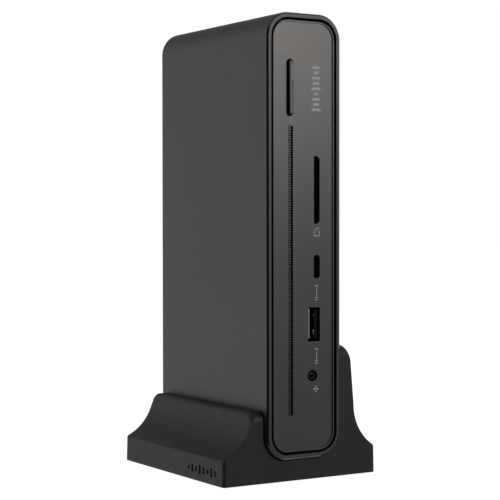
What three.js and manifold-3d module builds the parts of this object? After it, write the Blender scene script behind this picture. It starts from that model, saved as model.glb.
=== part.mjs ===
// Laptop docking station: a slim upright dock unit that stands in a moulded desk stand.
// Millimetres. +Z is up, the front faces -Y, and +X is to the right of someone facing the front.
// The origin is on the desk, below the middle of the whole object.
import * as THREE from 'three';
import { mergeVertices } from 'three/addons/utils/BufferGeometryUtils.js';
import Module from 'manifold-3d';

const wasm = await Module();
wasm.setup();

// ---------------------------------------------------------------- driving dimensions

const gap = 0.3; // clearance between pieces that touch on the real object

// Dock unit. Its own frame has z = 0 at its underside and y = 0 at the middle of its depth.
const dockWidth = 33.3;
const dockHeight = 168.4;
const dockDepth = 82;
const dockRadius = 9.5;
const sleeveWall = 1.85;
const dockMidZ = dockHeight / 2;
const frontY = -dockDepth / 2;
const rearY = dockDepth / 2;
const innerWidth = dockWidth - 2 * sleeveWall;
const innerHeight = dockHeight - 2 * sleeveWall;
const innerRadius = dockRadius - sleeveWall;

// Front panel, with a raised lip round its edge, and the carrier behind it.
const panelGap = 1.15;
const panelThickness = 0.6;
const panelLip = 0.55;
const panelRecess = 0.6;
const lipFrontY = frontY + 0.3;
const panelFrontY = frontY + panelRecess;
const panelBackY = panelFrontY + panelThickness;
const carrierFrontY = panelBackY + gap;
const carrierStepY = frontY + 3.1;
const carrierBackY = frontY + 5.2;
const buttonPocketY = frontY + 2.9;
const socketFrontY = panelBackY + 0.35;

// Columns of the front: the button and the air slot on the left, the sockets on the right.
const ventSlot = { x: -5.77, z: 71.25, width: 2.34, height: 109.3 };
const buttonSlot = { x: -5.95, z: 140.25, width: 2.9, height: 21.5 };
const buttonWidth = 1.88;
const buttonProud = 0.6; // how far the button's tip stands out from the sleeve's rim
const cardSlot = { x: 6.16, z: 101.86, width: 2.58, height: 25.78, corner: 1.1 };
const smallPort = { x: 6.15, z: 72.65, width: 2.84, height: 9.1 };
const largePort = { x: 4.84, z: 50.7, width: 5.46, height: 13 };
const audioPort = { x: 4.15, z: 31.15, radius: 2.2 };

// Main board and what stands on it.
const boardX = 8.24;
const boardThickness = 1.6;
const boardFrontY = -35.4;
const boardRearY = 35;
const boardBottomZ = 9;
const boardTopZ = 159.5;
const boardScrewYs = [-31, 14];
const boardScrewZs = [15, 152];
const onBoardX = boardX - 0.35; // the side of a socket or chip that sits on the board
const cardReaderX = onBoardX - 1.85;
const audioJackX = onBoardX - 3.3;
const trayX = 12.5;
const trayThickness = 1.2;

// Rear panel and its sockets.
const rearPanelThickness = 1.5;
const rearPanelBackY = rearY - 0.4;
const rearPanelFrontY = rearPanelBackY - rearPanelThickness;
const rearSocketY = rearY - 0.2;
const lockSlot = { x: -6.5, z: 152, width: 3, height: 7 };
const rearScrews = [
  { name: 'rear_screw_upper', x: 6, z: 158.8, lugLow: 155.5, lugHigh: 161.9 },
  { name: 'rear_screw_lower', x: 6, z: 7.6, lugLow: 5.2, lugHigh: 10.9 },
];
const powerInlet = { x: 3.14, z: 143 };
const hostPort = { x: 6.22, z: 128.6 };
const networkPort = { x: 0.89, z: 112, width: 13.9, height: 16, depth: 21 };
const wideVideoZ = 92.5;
const tallVideoZs = [73.2, 54];
const rearLargeZs = [35.2, 18.3];

// Stand. Its own frame has z = 0 at the underside of its shell.
const footDrop = 0.3; // how far the feet hold the shell off the desk
const standHalfWidth = 34.7;
const standDepth = 78.8;
const standShift = 0.4; // how far the stand's middle is behind the dock unit's
const standCorner = 1.8;
const standDraft = 0.2;
const cradleClearance = 0.4;
const dockRestZ = 8.4;
// A wing's flank is an arc about (arcX, arcZ) up to bendZ; crown is the radius of its rounded top edge.
const lowWing = {
  side: -1,
  top: 27.1,
  topX: 22.1,
  crown: 2.2,
  bendZ: 24.9,
  arcX: 41.5,
  arcZ: 28.4,
  arcRadius: 19.8,
};
const highWing = {
  side: 1,
  top: 50.7,
  topX: 23.4,
  crown: 4.9,
  bendZ: 45.8,
  arcX: 44.1,
  arcZ: 27.4,
  arcRadius: 19.3,
};
const standWall = 2;
const standScrew = { x: 26.5, y: 30 };
const basePlateZ = 1;
const basePlateThickness = 1.5;
const padThickness = 1.15;

// ---------------------------------------------------------------- materials

function finish(color, roughness, metalness) {
  return new THREE.MeshStandardMaterial({ color, roughness, metalness });
}

const sleevePaint = finish(0x4a4a47, 0.55, 0.3);
const panelMetal = finish(0x5c5853, 0.42, 0.55);
const blackPlastic = finish(0x0c0c0c, 0.6, 0);
const buttonPlastic = finish(0x54544f, 0.35, 0.3);
const lightWindow = finish(0x8a8984, 0.3, 0);
const standPlastic = finish(0x2b2d2d, 0.6, 0);
const meshMetal = finish(0x1e1d1b, 0.5, 0.6);
const socketSteel = finish(0xa8a8a8, 0.3, 1);
const contactGold = finish(0xc9a24a, 0.3, 1);
const boardGreen = finish(0x123a26, 0.5, 0);
const chipBlack = finish(0x17171a, 0.4, 0);
const padGrey = finish(0x8fa3ad, 0.9, 0);
const aluminium = finish(0xb4b6b8, 0.4, 0.9);
const capacitorSkin = finish(0x2a2b33, 0.35, 0.3);
const zincSteel = finish(0x9a9ca0, 0.35, 0.9);
const rubber = finish(0x151515, 0.9, 0);
const ribbonFilm = finish(0xd8d4c8, 0.5, 0);

// ---------------------------------------------------------------- solids

function toSolid(geometry) {
  geometry.deleteAttribute('normal');
  geometry.deleteAttribute('uv');
  const merged = mergeVertices(geometry, 1e-4);
  return new wasm.Manifold(
    new wasm.Mesh({
      numProp: 3,
      vertProperties: merged.attributes.position.array,
      triVerts: Uint32Array.from(merged.index.array),
    }),
  );
}

function join(first, ...others) {
  return others.reduce((whole, piece) => whole.add(piece), first);
}

function cut(body, ...tools) {
  return tools.reduce((left, tool) => left.subtract(tool), body);
}

function box(x0, x1, y0, y1, z0, z1) {
  const geometry = new THREE.BoxGeometry(x1 - x0, y1 - y0, z1 - z0);
  geometry.translate((x0 + x1) / 2, (y0 + y1) / 2, (z0 + z1) / 2);
  return toSolid(geometry);
}

// A shape drawn in (x, z) that runs along Y.
function prismY(shape, y0, y1, curveSegments = 6) {
  const geometry = new THREE.ExtrudeGeometry(shape, { depth: y1 - y0, bevelEnabled: false, curveSegments });
  geometry.rotateX(Math.PI / 2);
  geometry.translate(0, y1, 0);
  return toSolid(geometry);
}

// A shape drawn in (x, y) that runs along Z.
function prismZ(shape, z0, z1, curveSegments = 6) {
  const geometry = new THREE.ExtrudeGeometry(shape, { depth: z1 - z0, bevelEnabled: false, curveSegments });
  geometry.translate(0, 0, z0);
  return toSolid(geometry);
}

// A shape drawn in (y, z) that runs along X.
function prismX(shape, x0, x1, curveSegments = 6) {
  const geometry = new THREE.ExtrudeGeometry(shape, { depth: x1 - x0, bevelEnabled: false, curveSegments });
  const turn = new THREE.Matrix4().makeBasis(
    new THREE.Vector3(0, 1, 0),
    new THREE.Vector3(0, 0, 1),
    new THREE.Vector3(1, 0, 0),
  );
  geometry.applyMatrix4(turn);
  geometry.translate(x0, 0, 0);
  return toSolid(geometry);
}

function cylinderY(x, z, radius, y0, y1, sides = 16) {
  const geometry = new THREE.CylinderGeometry(radius, radius, y1 - y0, sides);
  geometry.translate(x, (y0 + y1) / 2, z);
  return toSolid(geometry);
}

function cylinderX(y, z, radius, x0, x1, sides = 16) {
  const geometry = new THREE.CylinderGeometry(radius, radius, x1 - x0, sides);
  geometry.rotateZ(Math.PI / 2);
  geometry.translate((x0 + x1) / 2, y, z);
  return toSolid(geometry);
}

function cylinderZ(x, y, radius, z0, z1, sides = 16) {
  const geometry = new THREE.CylinderGeometry(radius, radius, z1 - z0, sides);
  geometry.rotateX(Math.PI / 2);
  geometry.translate(x, y, (z0 + z1) / 2);
  return toSolid(geometry);
}

// A rectangle with round corners, centred on (x, z).
function roundedRect(x, z, width, height, radius) {
  const left = x - width / 2;
  const right = x + width / 2;
  const low = z - height / 2;
  const high = z + height / 2;
  const shape = new THREE.Shape();
  shape.moveTo(left + radius, low);
  shape.lineTo(right - radius, low);
  shape.absarc(right - radius, low + radius, radius, -Math.PI / 2, 0, false);
  shape.lineTo(right, high - radius);
  shape.absarc(right - radius, high - radius, radius, 0, Math.PI / 2, false);
  shape.lineTo(left + radius, high);
  shape.absarc(left + radius, high - radius, radius, Math.PI / 2, Math.PI, false);
  shape.lineTo(left, low + radius);
  shape.absarc(left + radius, low + radius, radius, Math.PI, Math.PI * 1.5, false);
  return shape;
}

// A rectangle whose two right-hand corners are cut off.
function clippedRect({ x, z, width, height, corner }) {
  const left = x - width / 2;
  const right = x + width / 2;
  const low = z - height / 2;
  const high = z + height / 2;
  const shape = new THREE.Shape();
  shape.moveTo(left, low);
  shape.lineTo(right - corner, low);
  shape.lineTo(right, low + corner);
  shape.lineTo(right, high - corner);
  shape.lineTo(right - corner, high);
  shape.lineTo(left, high);
  shape.closePath();
  return shape;
}

// Puts a finished solid into the scene as a named piece.
function place(group, name, solid, material, position = [0, 0, 0]) {
  const { vertProperties, triVerts } = solid.getMesh();
  const geometry = new THREE.BufferGeometry();
  geometry.setAttribute('position', new THREE.BufferAttribute(Float32Array.from(vertProperties), 3));
  geometry.setIndex(Array.from(triVerts));
  geometry.computeVertexNormals();
  const mesh = new THREE.Mesh(geometry, material);
  mesh.name = name;
  mesh.position.set(...position);
  group.add(mesh);
}

// ---------------------------------------------------------------- housing and front

function housingSleeve() {
  const outside = roundedRect(0, dockMidZ, dockWidth, dockHeight, dockRadius);
  const inside = roundedRect(0, dockMidZ, innerWidth, innerHeight, innerRadius);
  return cut(prismY(outside, frontY, rearY, 8), prismY(inside, frontY - 1, rearY + 1, 8));
}

function frontPanel() {
  const outline = (inset) =>
    roundedRect(0, dockMidZ, innerWidth - 2 * inset, innerHeight - 2 * inset, innerRadius - inset);
  const y0 = panelFrontY - 1;
  const y1 = panelBackY + 1;
  const hole = ({ x, z, width, height }, radius) =>
    prismY(roundedRect(x, z, width, height, radius), y0, y1, 4);
  return cut(
    prismY(outline(panelGap), lipFrontY, panelBackY, 8),
    prismY(outline(panelGap + panelLip), lipFrontY - 1, panelFrontY, 8),
    hole(ventSlot, 0.3),
    hole(buttonSlot, buttonSlot.width / 2 - 0.01),
    prismY(clippedRect(cardSlot), y0, y1),
    hole(smallPort, smallPort.width / 2 - 0.01),
    hole(largePort, 0.3),
    cylinderY(audioPort.x, audioPort.z, audioPort.radius, y0, y1, 24),
  );
}

// The black frame that the front panel is glued to. It snaps into the sleeve and has the button's guide.
function frontCarrier() {
  const flange = roundedRect(0, dockMidZ, innerWidth - 2 * gap, innerHeight - 2 * gap, innerRadius - gap);
  const pad = roundedRect(0, dockMidZ, innerWidth - 4, innerHeight - 4, innerRadius - 2);
  const through = (x, z, width, height) =>
    box(x - width / 2, x + width / 2, frontY - 1, carrierBackY + 1, z - height / 2, z + height / 2);
  const pocket = (x, z, width, height, floorY) =>
    box(x - width / 2, x + width / 2, frontY - 1, floorY, z - height / 2, z + height / 2);
  const hook = (z0, z1) => box(-4, 4, carrierBackY - 0.5, carrierBackY + 4.5, z0, z1);
  const boss = (z) => cylinderY(buttonSlot.x, z, 2.5, carrierBackY - 0.5, switchBoardFrontY - gap);
  const bossHole = (z) => cylinderY(buttonSlot.x, z, 1.2, carrierBackY - 1.2, switchBoardFrontY + 1, 12);
  return cut(
    join(
      prismY(flange, carrierStepY, carrierBackY),
      prismY(pad, carrierFrontY, carrierStepY + 0.5),
      hook(sleeveWall + 0.6, sleeveWall + 2),
      hook(dockHeight - sleeveWall - 2, dockHeight - sleeveWall - 0.6),
      ...switchScrewZs.map(boss),
    ),
    pocket(ventSlot.x, ventSlot.z, 5, ventSlot.height + 2.6, carrierFrontY + 0.8),
    through(ventSlot.x, ventSlot.z, 2, ventSlot.height - 1),
    pocket(buttonSlot.x, buttonSlot.z, 5, buttonSlot.height + 2.6, buttonPocketY),
    cylinderY(buttonSlot.x, buttonSlot.z, 1.6, frontY, carrierBackY + 1, 12),
    through(cardReaderX, cardSlot.z, 4.2, 28.8),
    through(smallPort.x, smallPort.z, 4, 10),
    through(largePort.x, largePort.z, 6.8, 14.4),
    through(audioJackX + 0.2, audioPort.z, 7, 7.3),
    ...switchScrewZs.map(bossHole),
  );
}

function frontVentMesh() {
  const width = 4.4;
  const height = ventSlot.height + 2;
  const plate = roundedRect(ventSlot.x, ventSlot.z, width, height, 0.4);
  const slotPitch = 9;
  const slots = [];
  for (let z = ventSlot.z - 6 * slotPitch; z < ventSlot.z + 6.5 * slotPitch; z += slotPitch) {
    slots.push(box(ventSlot.x - 0.5, ventSlot.x + 0.5, frontY, carrierFrontY + 1, z - 3, z + 3));
  }
  return cut(prismY(plate, carrierFrontY, carrierFrontY + 0.5, 3), ...slots);
}

// ---------------------------------------------------------------- power button

const buttonTipY = frontY - buttonProud;
const lipY = carrierFrontY;
const lipBackY = lipY + 0.7;
const stemBackY = frontY + 4.7;
const plungerY = stemBackY + gap;
const plungerLength = 1.4;
const lensHeight = 6.2;
const lensTopZ = 149.2;
const switchBoardFrontY = frontY + 7.8;
const switchBoardBackY = switchBoardFrontY + 1.4;
const switchScrewZs = [buttonSlot.z - 11.2, buttonSlot.z + 12.4];

// A bar with round ends that stands proud of the panel, a lip that keeps it in, and a stem to the switch.
function powerButton() {
  const half = buttonSlot.height / 2 - gap;
  const z0 = buttonSlot.z - half;
  const z1 = buttonSlot.z + half;
  const side = new THREE.Shape();
  side.moveTo(lipY + 0.2, z0);
  side.lineTo(lipY + 0.2, z1);
  side.lineTo(panelFrontY, z1);
  side.quadraticCurveTo(buttonTipY, z1, buttonTipY, z1 - 1.4);
  side.lineTo(buttonTipY, z0 + 0.9);
  side.quadraticCurveTo(buttonTipY, z0, panelFrontY, z0);
  side.closePath();
  const x0 = buttonSlot.x - buttonWidth / 2;
  const x1 = buttonSlot.x + buttonWidth / 2;
  const plan = roundedRect(buttonSlot.x, buttonSlot.z, buttonWidth, 2 * half, buttonWidth / 2 - 0.05);
  const bar = prismX(side, x0, x1, 4).intersect(prismY(plan, buttonTipY - 1, lipY + 0.5, 4));
  const lip = box(x0 - 1, x1 + 1, lipY, lipBackY, z0 - 0.9, z1 + 0.9);
  const stem = cylinderY(buttonSlot.x, buttonSlot.z, 1.2, lipBackY - 0.2, stemBackY, 12);
  const lensSeat = box(
    x0 + 0.15,
    x1 - 0.15,
    buttonTipY - 1,
    buttonTipY + 0.9,
    lensTopZ - lensHeight - gap,
    lensTopZ + gap,
  );
  return cut(join(bar, lip, stem), lensSeat);
}

function powerLightWindow() {
  const half = buttonWidth / 2 - 0.45;
  const backY = buttonTipY + 0.6;
  return box(buttonSlot.x - half, buttonSlot.x + half, buttonTipY, backY, lensTopZ - lensHeight, lensTopZ);
}

function switchPlunger() {
  return cylinderY(buttonSlot.x, buttonSlot.z, 1.1, plungerY, plungerY + plungerLength, 12);
}

function pushSwitch() {
  const y0 = carrierBackY + 0.4;
  const y1 = switchBoardFrontY - gap;
  const body = box(buttonSlot.x - 3, buttonSlot.x + 3, y0, y1, buttonSlot.z - 3, buttonSlot.z + 3);
  return cut(body, cylinderY(buttonSlot.x, buttonSlot.z, 1.5, y0 - 1, plungerY + plungerLength + 0.7, 12));
}

function switchBoard() {
  const board = box(-12, 0.6, switchBoardFrontY, switchBoardBackY, buttonSlot.z - 14, buttonSlot.z + 15);
  const hole = (z) => cylinderY(buttonSlot.x, z, 1.3, switchBoardFrontY - 1, switchBoardBackY + 1, 12);
  return cut(board, ...switchScrewZs.map(hole));
}

// A screw along Y, head at its rear end, with the tip of the shank at y = 0.
function screwAlongY(shankRadius, shankLength, headRadius, headHeight) {
  const shank = cylinderY(0, 0, shankRadius, 0, shankLength + 0.2, 12);
  const head = cylinderY(0, 0, headRadius, shankLength, shankLength + headHeight, 16);
  const top = shankLength + headHeight;
  const slot = box(-headRadius * 0.6, headRadius * 0.6, top - headHeight * 0.5, top + 1, -0.25, 0.25);
  const crossSlot = box(-0.25, 0.25, top - headHeight * 0.5, top + 1, -headRadius * 0.6, headRadius * 0.6);
  return cut(join(shank, head), slot, crossSlot);
}

// Flat ribbon from the back of the switch board to the face of the main board.
function switchRibbon() {
  const thickness = 0.3;
  const bend = 2;
  const startX = -5;
  const nearY = switchBoardBackY + gap;
  const riseX = 2.6;
  const farY = nearY + 9;
  const shape = new THREE.Shape();
  shape.moveTo(startX, nearY);
  shape.lineTo(riseX - bend, nearY);
  shape.absarc(riseX - bend, nearY + bend, bend, -Math.PI / 2, 0, false);
  shape.lineTo(riseX, farY - bend);
  shape.absarc(riseX + bend, farY - bend, bend, Math.PI, Math.PI / 2, true);
  shape.lineTo(onBoardX, farY);
  shape.lineTo(onBoardX, farY + thickness);
  shape.lineTo(riseX + bend, farY + thickness);
  shape.absarc(riseX + bend, farY - bend, bend + thickness, Math.PI / 2, Math.PI, false);
  shape.lineTo(riseX - thickness, nearY + bend);
  shape.absarc(riseX - bend, nearY + bend, bend - thickness, 0, -Math.PI / 2, true);
  shape.lineTo(startX, nearY + thickness);
  shape.closePath();
  return prismZ(shape, buttonSlot.z + 3, buttonSlot.z + 7);
}

// ---------------------------------------------------------------- sockets

// A socket shell with its mouth at y = 0, running back along +Y, centred on x = 0, z = 0.
function socketShell(width, height, radius, wall, depth) {
  const outside = roundedRect(0, 0, width, height, radius);
  const inside = roundedRect(0, 0, width - 2 * wall, height - 2 * wall, Math.max(radius - wall, 0.1));
  return cut(prismY(outside, 0, depth, 4), prismY(inside, -1, depth - 0.6, 4));
}

// The tongue inside a socket, with the block that closes the back of the shell.
function socketTongue(width, height, offset, thickness, tongueHeight, depth) {
  const start = 1.2;
  const blockY = depth - 3.4;
  const left = offset - thickness / 2;
  const right = offset + thickness / 2;
  return join(
    box(-width / 2, width / 2, blockY, depth - 0.9, -height / 2, height / 2),
    box(left, right, start, blockY + 1, -tongueHeight / 2, tongueHeight / 2),
  );
}

// A socket whose shell and tongue are one moulding, with its mouth at y = 0, running along -Y.
function oneBodySocket(width, height, radius, depth, tongueOffset, tongueHeight) {
  const outside = roundedRect(0, 0, width, height, radius);
  const inside = roundedRect(0, 0, width - 0.8, height - 0.8, Math.max(radius - 0.4, 0.1));
  const shell = cut(prismY(outside, -depth, 0, 3), prismY(inside, -depth + 3, 1, 3));
  const left = tongueOffset - 0.7;
  const right = tongueOffset + 0.7;
  const tongue = box(left, right, -depth + 1, -1.5, -tongueHeight / 2, tongueHeight / 2);
  return join(shell, tongue);
}

const smallShell = { width: 3.3, height: 9.3, wall: 0.3, depth: 9 };
const largeShell = { width: 6.1, height: 13.7, wall: 0.35, depth: 14 };

function smallSocketShell() {
  return socketShell(smallShell.width, smallShell.height, 1.6, smallShell.wall, smallShell.depth);
}

function smallSocketTongue() {
  return socketTongue(1.4, 6.4, 0, 0.7, 6.4, smallShell.depth);
}

function largeSocketShell() {
  return socketShell(largeShell.width, largeShell.height, 0.5, largeShell.wall, largeShell.depth);
}

function largeSocketTongue() {
  return socketTongue(4.8, 12.3, 1.1, 1.8, 11.1, largeShell.depth);
}

function cardReaderCage() {
  const width = 3.6;
  const height = 28.2;
  const depth = 28;
  const mouth = box(-1.2, 1.35, -1, depth - 1, -12.7, 12.7);
  return cut(box(-width / 2, width / 2, 0, depth, -height / 2, height / 2), mouth);
}

// Nine sprung fingers on one bar.
function cardReaderContacts() {
  const fingers = [];
  for (let n = -4; n <= 4; n += 1) {
    fingers.push(box(0.2, 0.6, 17, 24.5, n * 2.5 - 0.5, n * 2.5 + 0.5));
  }
  return join(box(-0.8, 0.9, 24, 26.4, -11.5, 11.5), ...fingers);
}

function audioJack() {
  const body = box(-2.9, 3.3, 0, 12.5, -3.3, 3.3);
  return cut(body, cylinderY(audioPort.x - audioJackX, 0, 1.8, -1, 11.5, 16));
}

// ---------------------------------------------------------------- boards and cooling

function mainBoard() {
  const board = box(boardX, boardX + boardThickness, boardFrontY, boardRearY, boardBottomZ, boardTopZ);
  const hole = (y, z) => cylinderX(y, z, 1.6, boardX - 1, boardX + boardThickness + 1, 12);
  return cut(board, ...boardScrewYs.flatMap((y) => boardScrewZs.map((z) => hole(y, z))));
}

// Sheet tray along the right wall: four hollow posts carry the main board, two lugs take the rear screws.
function boardTray() {
  const plate = box(trayX, trayX + trayThickness, boardFrontY + 0.3, boardRearY + 2, 10, 157);
  const postX = boardX + boardThickness + gap;
  const spots = boardScrewYs.flatMap((y) => boardScrewZs.map((z) => [y, z]));
  const windows = [40, 84, 128].map((z) => box(trayX - 1, trayX + 3, -22, 10, z - 14, z + 14));
  const lugRearY = rearPanelFrontY - gap;
  const lug = ({ lugLow, lugHigh }) => box(3.4, trayX + 0.5, boardRearY + 0.4, lugRearY, lugLow, lugHigh);
  return cut(
    join(
      plate,
      ...spots.map(([y, z]) => cylinderX(y, z, 3, postX, trayX + 0.2, 12)),
      ...rearScrews.map(lug),
    ),
    ...spots.map(([y, z]) => cylinderX(y, z, 1.6, postX - 1, trayX + 3, 12)),
    ...rearScrews.map(({ x, z }) => cylinderY(x, z, 1.6, boardRearY - 1, rearY, 12)),
    ...windows,
  );
}

// A screw along +X, head first, with the underside of its head at x = 0.
function boardScrew() {
  const head = cylinderX(0, 0, 2.5, -1.6, 0, 16);
  const shank = cylinderX(0, 0, 1.25, -0.2, 5.4, 12);
  const slot = box(-2, -0.9, -1.5, 1.5, -0.25, 0.25);
  const crossSlot = box(-2, -0.9, -0.25, 0.25, -1.5, 1.5);
  return cut(join(head, shank), slot, crossSlot);
}

const hubChip = { y: 3, z: 115, size: 14 };
const videoChip = { y: 3, z: 86, size: 12 };
const chipThickness = 1;
const sinkX = 3.64;
const sinkPlate = 1.5;

function chip({ y, z, size }) {
  return box(onBoardX - chipThickness, onBoardX, y - size / 2, y + size / 2, z - size / 2, z + size / 2);
}

function thermalPad({ y, z, size }) {
  const half = size / 2 - 0.5;
  const x0 = sinkX + sinkPlate + gap;
  const x1 = onBoardX - chipThickness - gap;
  return box(x0, x1, y - half, y + half, z - half, z + half);
}

function heatSink() {
  const front = -9;
  const rear = 15;
  const low = 54;
  const high = 134;
  const finPitch = 5.5;
  const fins = [];
  for (let y = front + 0.4; y < rear; y += finPitch) {
    fins.push(box(sinkX - 10, sinkX + 0.5, y, y + 1.2, low, high));
  }
  return join(box(sinkX, sinkX + sinkPlate, front, rear, low, high), ...fins);
}

function capacitor(y, z) {
  return cylinderX(y, z, 4, onBoardX - 10, onBoardX, 20);
}

// ---------------------------------------------------------------- rear

function rearPanel() {
  const outline = roundedRect(0, dockMidZ, innerWidth - 2 * gap, innerHeight - 2 * gap, innerRadius - gap);
  const y0 = rearPanelFrontY - 1;
  const y1 = rearPanelBackY + 1;
  const hole = (x, z, width, height, radius) => prismY(roundedRect(x, z, width, height, radius), y0, y1, 3);
  const ventSlots = [];
  for (let z = 24; z <= 132; z += 4.5) {
    ventSlots.push(box(-11.5, -8.3, y0, y1, z - 0.9, z + 0.9));
  }
  const largeHole = (z) => hole(largePort.x, z, largeShell.width + 0.7, largeShell.height + 0.7, 0.6);
  return cut(
    prismY(outline, rearPanelFrontY, rearPanelBackY, 8),
    hole(lockSlot.x, lockSlot.z, lockSlot.width, lockSlot.height, 0.5),
    cylinderY(powerInlet.x, powerInlet.z, 4.7, y0, y1, 24),
    hole(hostPort.x, hostPort.z, smallShell.width + 0.7, smallShell.height + 0.7, 1.9),
    hole(networkPort.x, networkPort.z, networkPort.width + 0.7, networkPort.height + 0.7, 0.3),
    hole(videoX, wideVideoZ, videoWidth + 0.7, 15.7, 1),
    ...tallVideoZs.map((z) => hole(videoX, z, videoWidth + 0.7, 17, 0.5)),
    ...rearLargeZs.map(largeHole),
    ...rearScrews.map(({ x, z }) => cylinderY(x, z, 1.6, y0, y1, 12)),
    ...ventSlots,
  );
}

const videoWidth = 6;
const videoX = onBoardX - videoWidth / 2;

// Barrel socket: a block with a round collar, and a pin in the middle of its bore.
function powerInletJack() {
  const block = box(-4.7, 4.7, -14, -2.4, -5.5, 5.5);
  const collar = cylinderY(0, 0, 4.3, -3, 0, 24);
  const bore = cylinderY(0, 0, 3.1, -11, 1, 20);
  const pin = cylinderY(0, 0, 1, -12, -1, 10);
  return join(cut(join(block, collar), bore), pin);
}

function networkSocket() {
  const { width, height, depth } = networkPort;
  const body = box(-width / 2, width / 2, -depth, 0, -height / 2, height / 2);
  const mouth = box(-3.6, 4, -14, 1, -5.9, 5.9);
  const latch = box(3.5, 5.6, -14, 1, -2, 2);
  return cut(body, mouth, latch);
}

function networkContacts() {
  const wires = [];
  for (let n = 0; n < 8; n += 1) {
    const z = (n - 3.5) * 1.02;
    wires.push(box(-2.9, -2.5, -12.6, -4, z - 0.2, z + 0.2));
  }
  return join(box(-3.3, -2.1, -13.6, -12.4, -4.4, 4.4), ...wires);
}

// ---------------------------------------------------------------- stand

// One wing's half of the stand's front outline, from the foot of its flank to the middle of the cradle floor.
// inset moves the whole outline inwards, which gives the hollow inside the shell.
function wingPoints(wing, inset, topZ, floorZ) {
  const points = [];
  const radius = wing.arcRadius + inset;
  const sideX = standHalfWidth - standDraft - inset;
  const startAngle = Math.asin((wing.arcX - sideX) / radius);
  const endZ = Math.min(wing.bendZ, wing.arcZ, topZ);
  const endAngle = Math.acos((wing.arcZ - endZ) / radius);
  const steps = 10;
  for (let n = 0; n <= steps; n += 1) {
    const angle = startAngle + ((endAngle - startAngle) * n) / steps;
    points.push([wing.arcX - radius * Math.sin(angle), wing.arcZ - radius * Math.cos(angle)]);
  }
  if (inset > 0) {
    const flank = points[points.length - 1][0];
    const lean = Math.max(0, topZ - wing.arcZ) / (wing.bendZ - wing.arcZ || 1);
    const straightTop = wing.arcX - wing.arcRadius - wing.topX;
    points.push([flank - (topZ > wing.arcZ ? lean * straightTop : 0), topZ]);
  } else {
    const crownX = wing.topX - wing.crown;
    const crownZ = topZ - wing.crown;
    for (let n = 0; n <= 5; n += 1) {
      const angle = (n / 5) * (Math.PI / 2);
      points.push([crownX + wing.crown * Math.cos(angle), crownZ + wing.crown * Math.sin(angle)]);
    }
  }
  const wallX = dockWidth / 2 + cradleClearance + inset;
  const cradleRadius = dockRadius + cradleClearance + inset;
  points.push([wallX, topZ]);
  const cornerSteps = 8;
  for (let n = 0; n <= cornerSteps; n += 1) {
    const angle = ((n / cornerSteps) * Math.PI) / 2;
    points.push([
      wallX - cradleRadius + cradleRadius * Math.cos(angle),
      floorZ + cradleRadius - cradleRadius * Math.sin(angle),
    ]);
  }
  return points.map(([x, z]) => [wing.side * x, z]);
}

function standOutline(inset, lowTop, highTop, bottomZ) {
  const floorZ = dockRestZ - cradleClearance - inset;
  const left = wingPoints(lowWing, inset, lowTop, floorZ);
  const right = wingPoints(highWing, inset, highTop, floorZ).reverse();
  const foot = standHalfWidth - inset;
  const outline = [[-foot, bottomZ], ...left, ...right, [foot, bottomZ]];
  return new THREE.Shape(outline.map(([x, z]) => new THREE.Vector2(x, z)).reverse());
}

const padSpots = [
  { name: 'cradle_pad_left', x: -dockWidth / 2, y: 0, z: 18, across: padThickness, along: 44, up: 9 },
  { name: 'cradle_pad_right', x: dockWidth / 2, y: 0, z: 30, across: padThickness, along: 44, up: 24 },
  { name: 'cradle_pad_front', x: 0, y: -27, z: dockRestZ, across: 12, along: 12, up: padThickness },
  { name: 'cradle_pad_rear', x: 0, y: 27, z: dockRestZ, across: 12, along: 12, up: padThickness },
];

// The corners of a pad, one gap away from the dock unit; grow makes it the pocket that the pad lies in.
function padBox({ x, y, z, across, along, up }, grow) {
  const sideways = Math.sign(x);
  const midX = x + sideways * (gap + across / 2);
  const midZ = sideways ? z : z - gap - up / 2;
  const reach = (size) => size / 2 + grow;
  return box(
    midX - reach(across),
    midX + reach(across),
    y - reach(along),
    y + reach(along),
    midZ - reach(up),
    midZ + reach(up),
  );
}

function standShell() {
  const half = standDepth / 2;
  const block = prismY(standOutline(0, lowWing.top, highWing.top, 0), -half, half);
  const plan = roundedRect(0, 0, 2 * standHalfWidth, standDepth, standCorner);
  const body = block.intersect(prismZ(plan, -1, highWing.top + 1, 5));
  const hollow = prismY(standOutline(standWall, 20, 42, -1), -half + standWall, half - standWall);
  const boss = (x, y) => cylinderZ(x, y, 3, basePlateZ + basePlateThickness + gap, 20, 12).intersect(body);
  const bossHole = (x, y) => cylinderZ(x, y, 1.5, -1, 9, 12);
  const corners = screwCorners();
  return cut(
    join(cut(body, hollow), ...corners.map(([x, y]) => boss(x, y))),
    ...corners.map(([x, y]) => bossHole(x, y)),
    ...padSpots.map((pad) => padBox(pad, gap)),
  );
}

function screwCorners() {
  return [-1, 1].flatMap((sx) => [-1, 1].map((sy) => [sx * standScrew.x, sy * standScrew.y]));
}

function standBasePlate() {
  const inset = standWall + 0.4;
  const plan = roundedRect(0, 0, 2 * (standHalfWidth - inset), standDepth - 2 * inset, 1);
  const plate = prismZ(plan, basePlateZ, basePlateZ + basePlateThickness, 3);
  return cut(plate, ...screwCorners().map(([x, y]) => cylinderZ(x, y, 1.5, 0, 4, 12)));
}

function rubberFoot() {
  return cylinderZ(0, 0, 5, -footDrop, basePlateZ - gap, 24);
}

function standScrewSolid() {
  const head = cylinderZ(0, 0, 2.4, -0.1, basePlateZ - gap, 16);
  const shank = cylinderZ(0, 0, 1.15, 0.5, 8, 12);
  const slot = box(-1.5, 1.5, -0.25, 0.25, -1, 0.3);
  const crossSlot = box(-0.25, 0.25, -1.5, 1.5, -1, 0.3);
  return cut(join(head, shank), slot, crossSlot);
}

// ---------------------------------------------------------------- assembly

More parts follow.
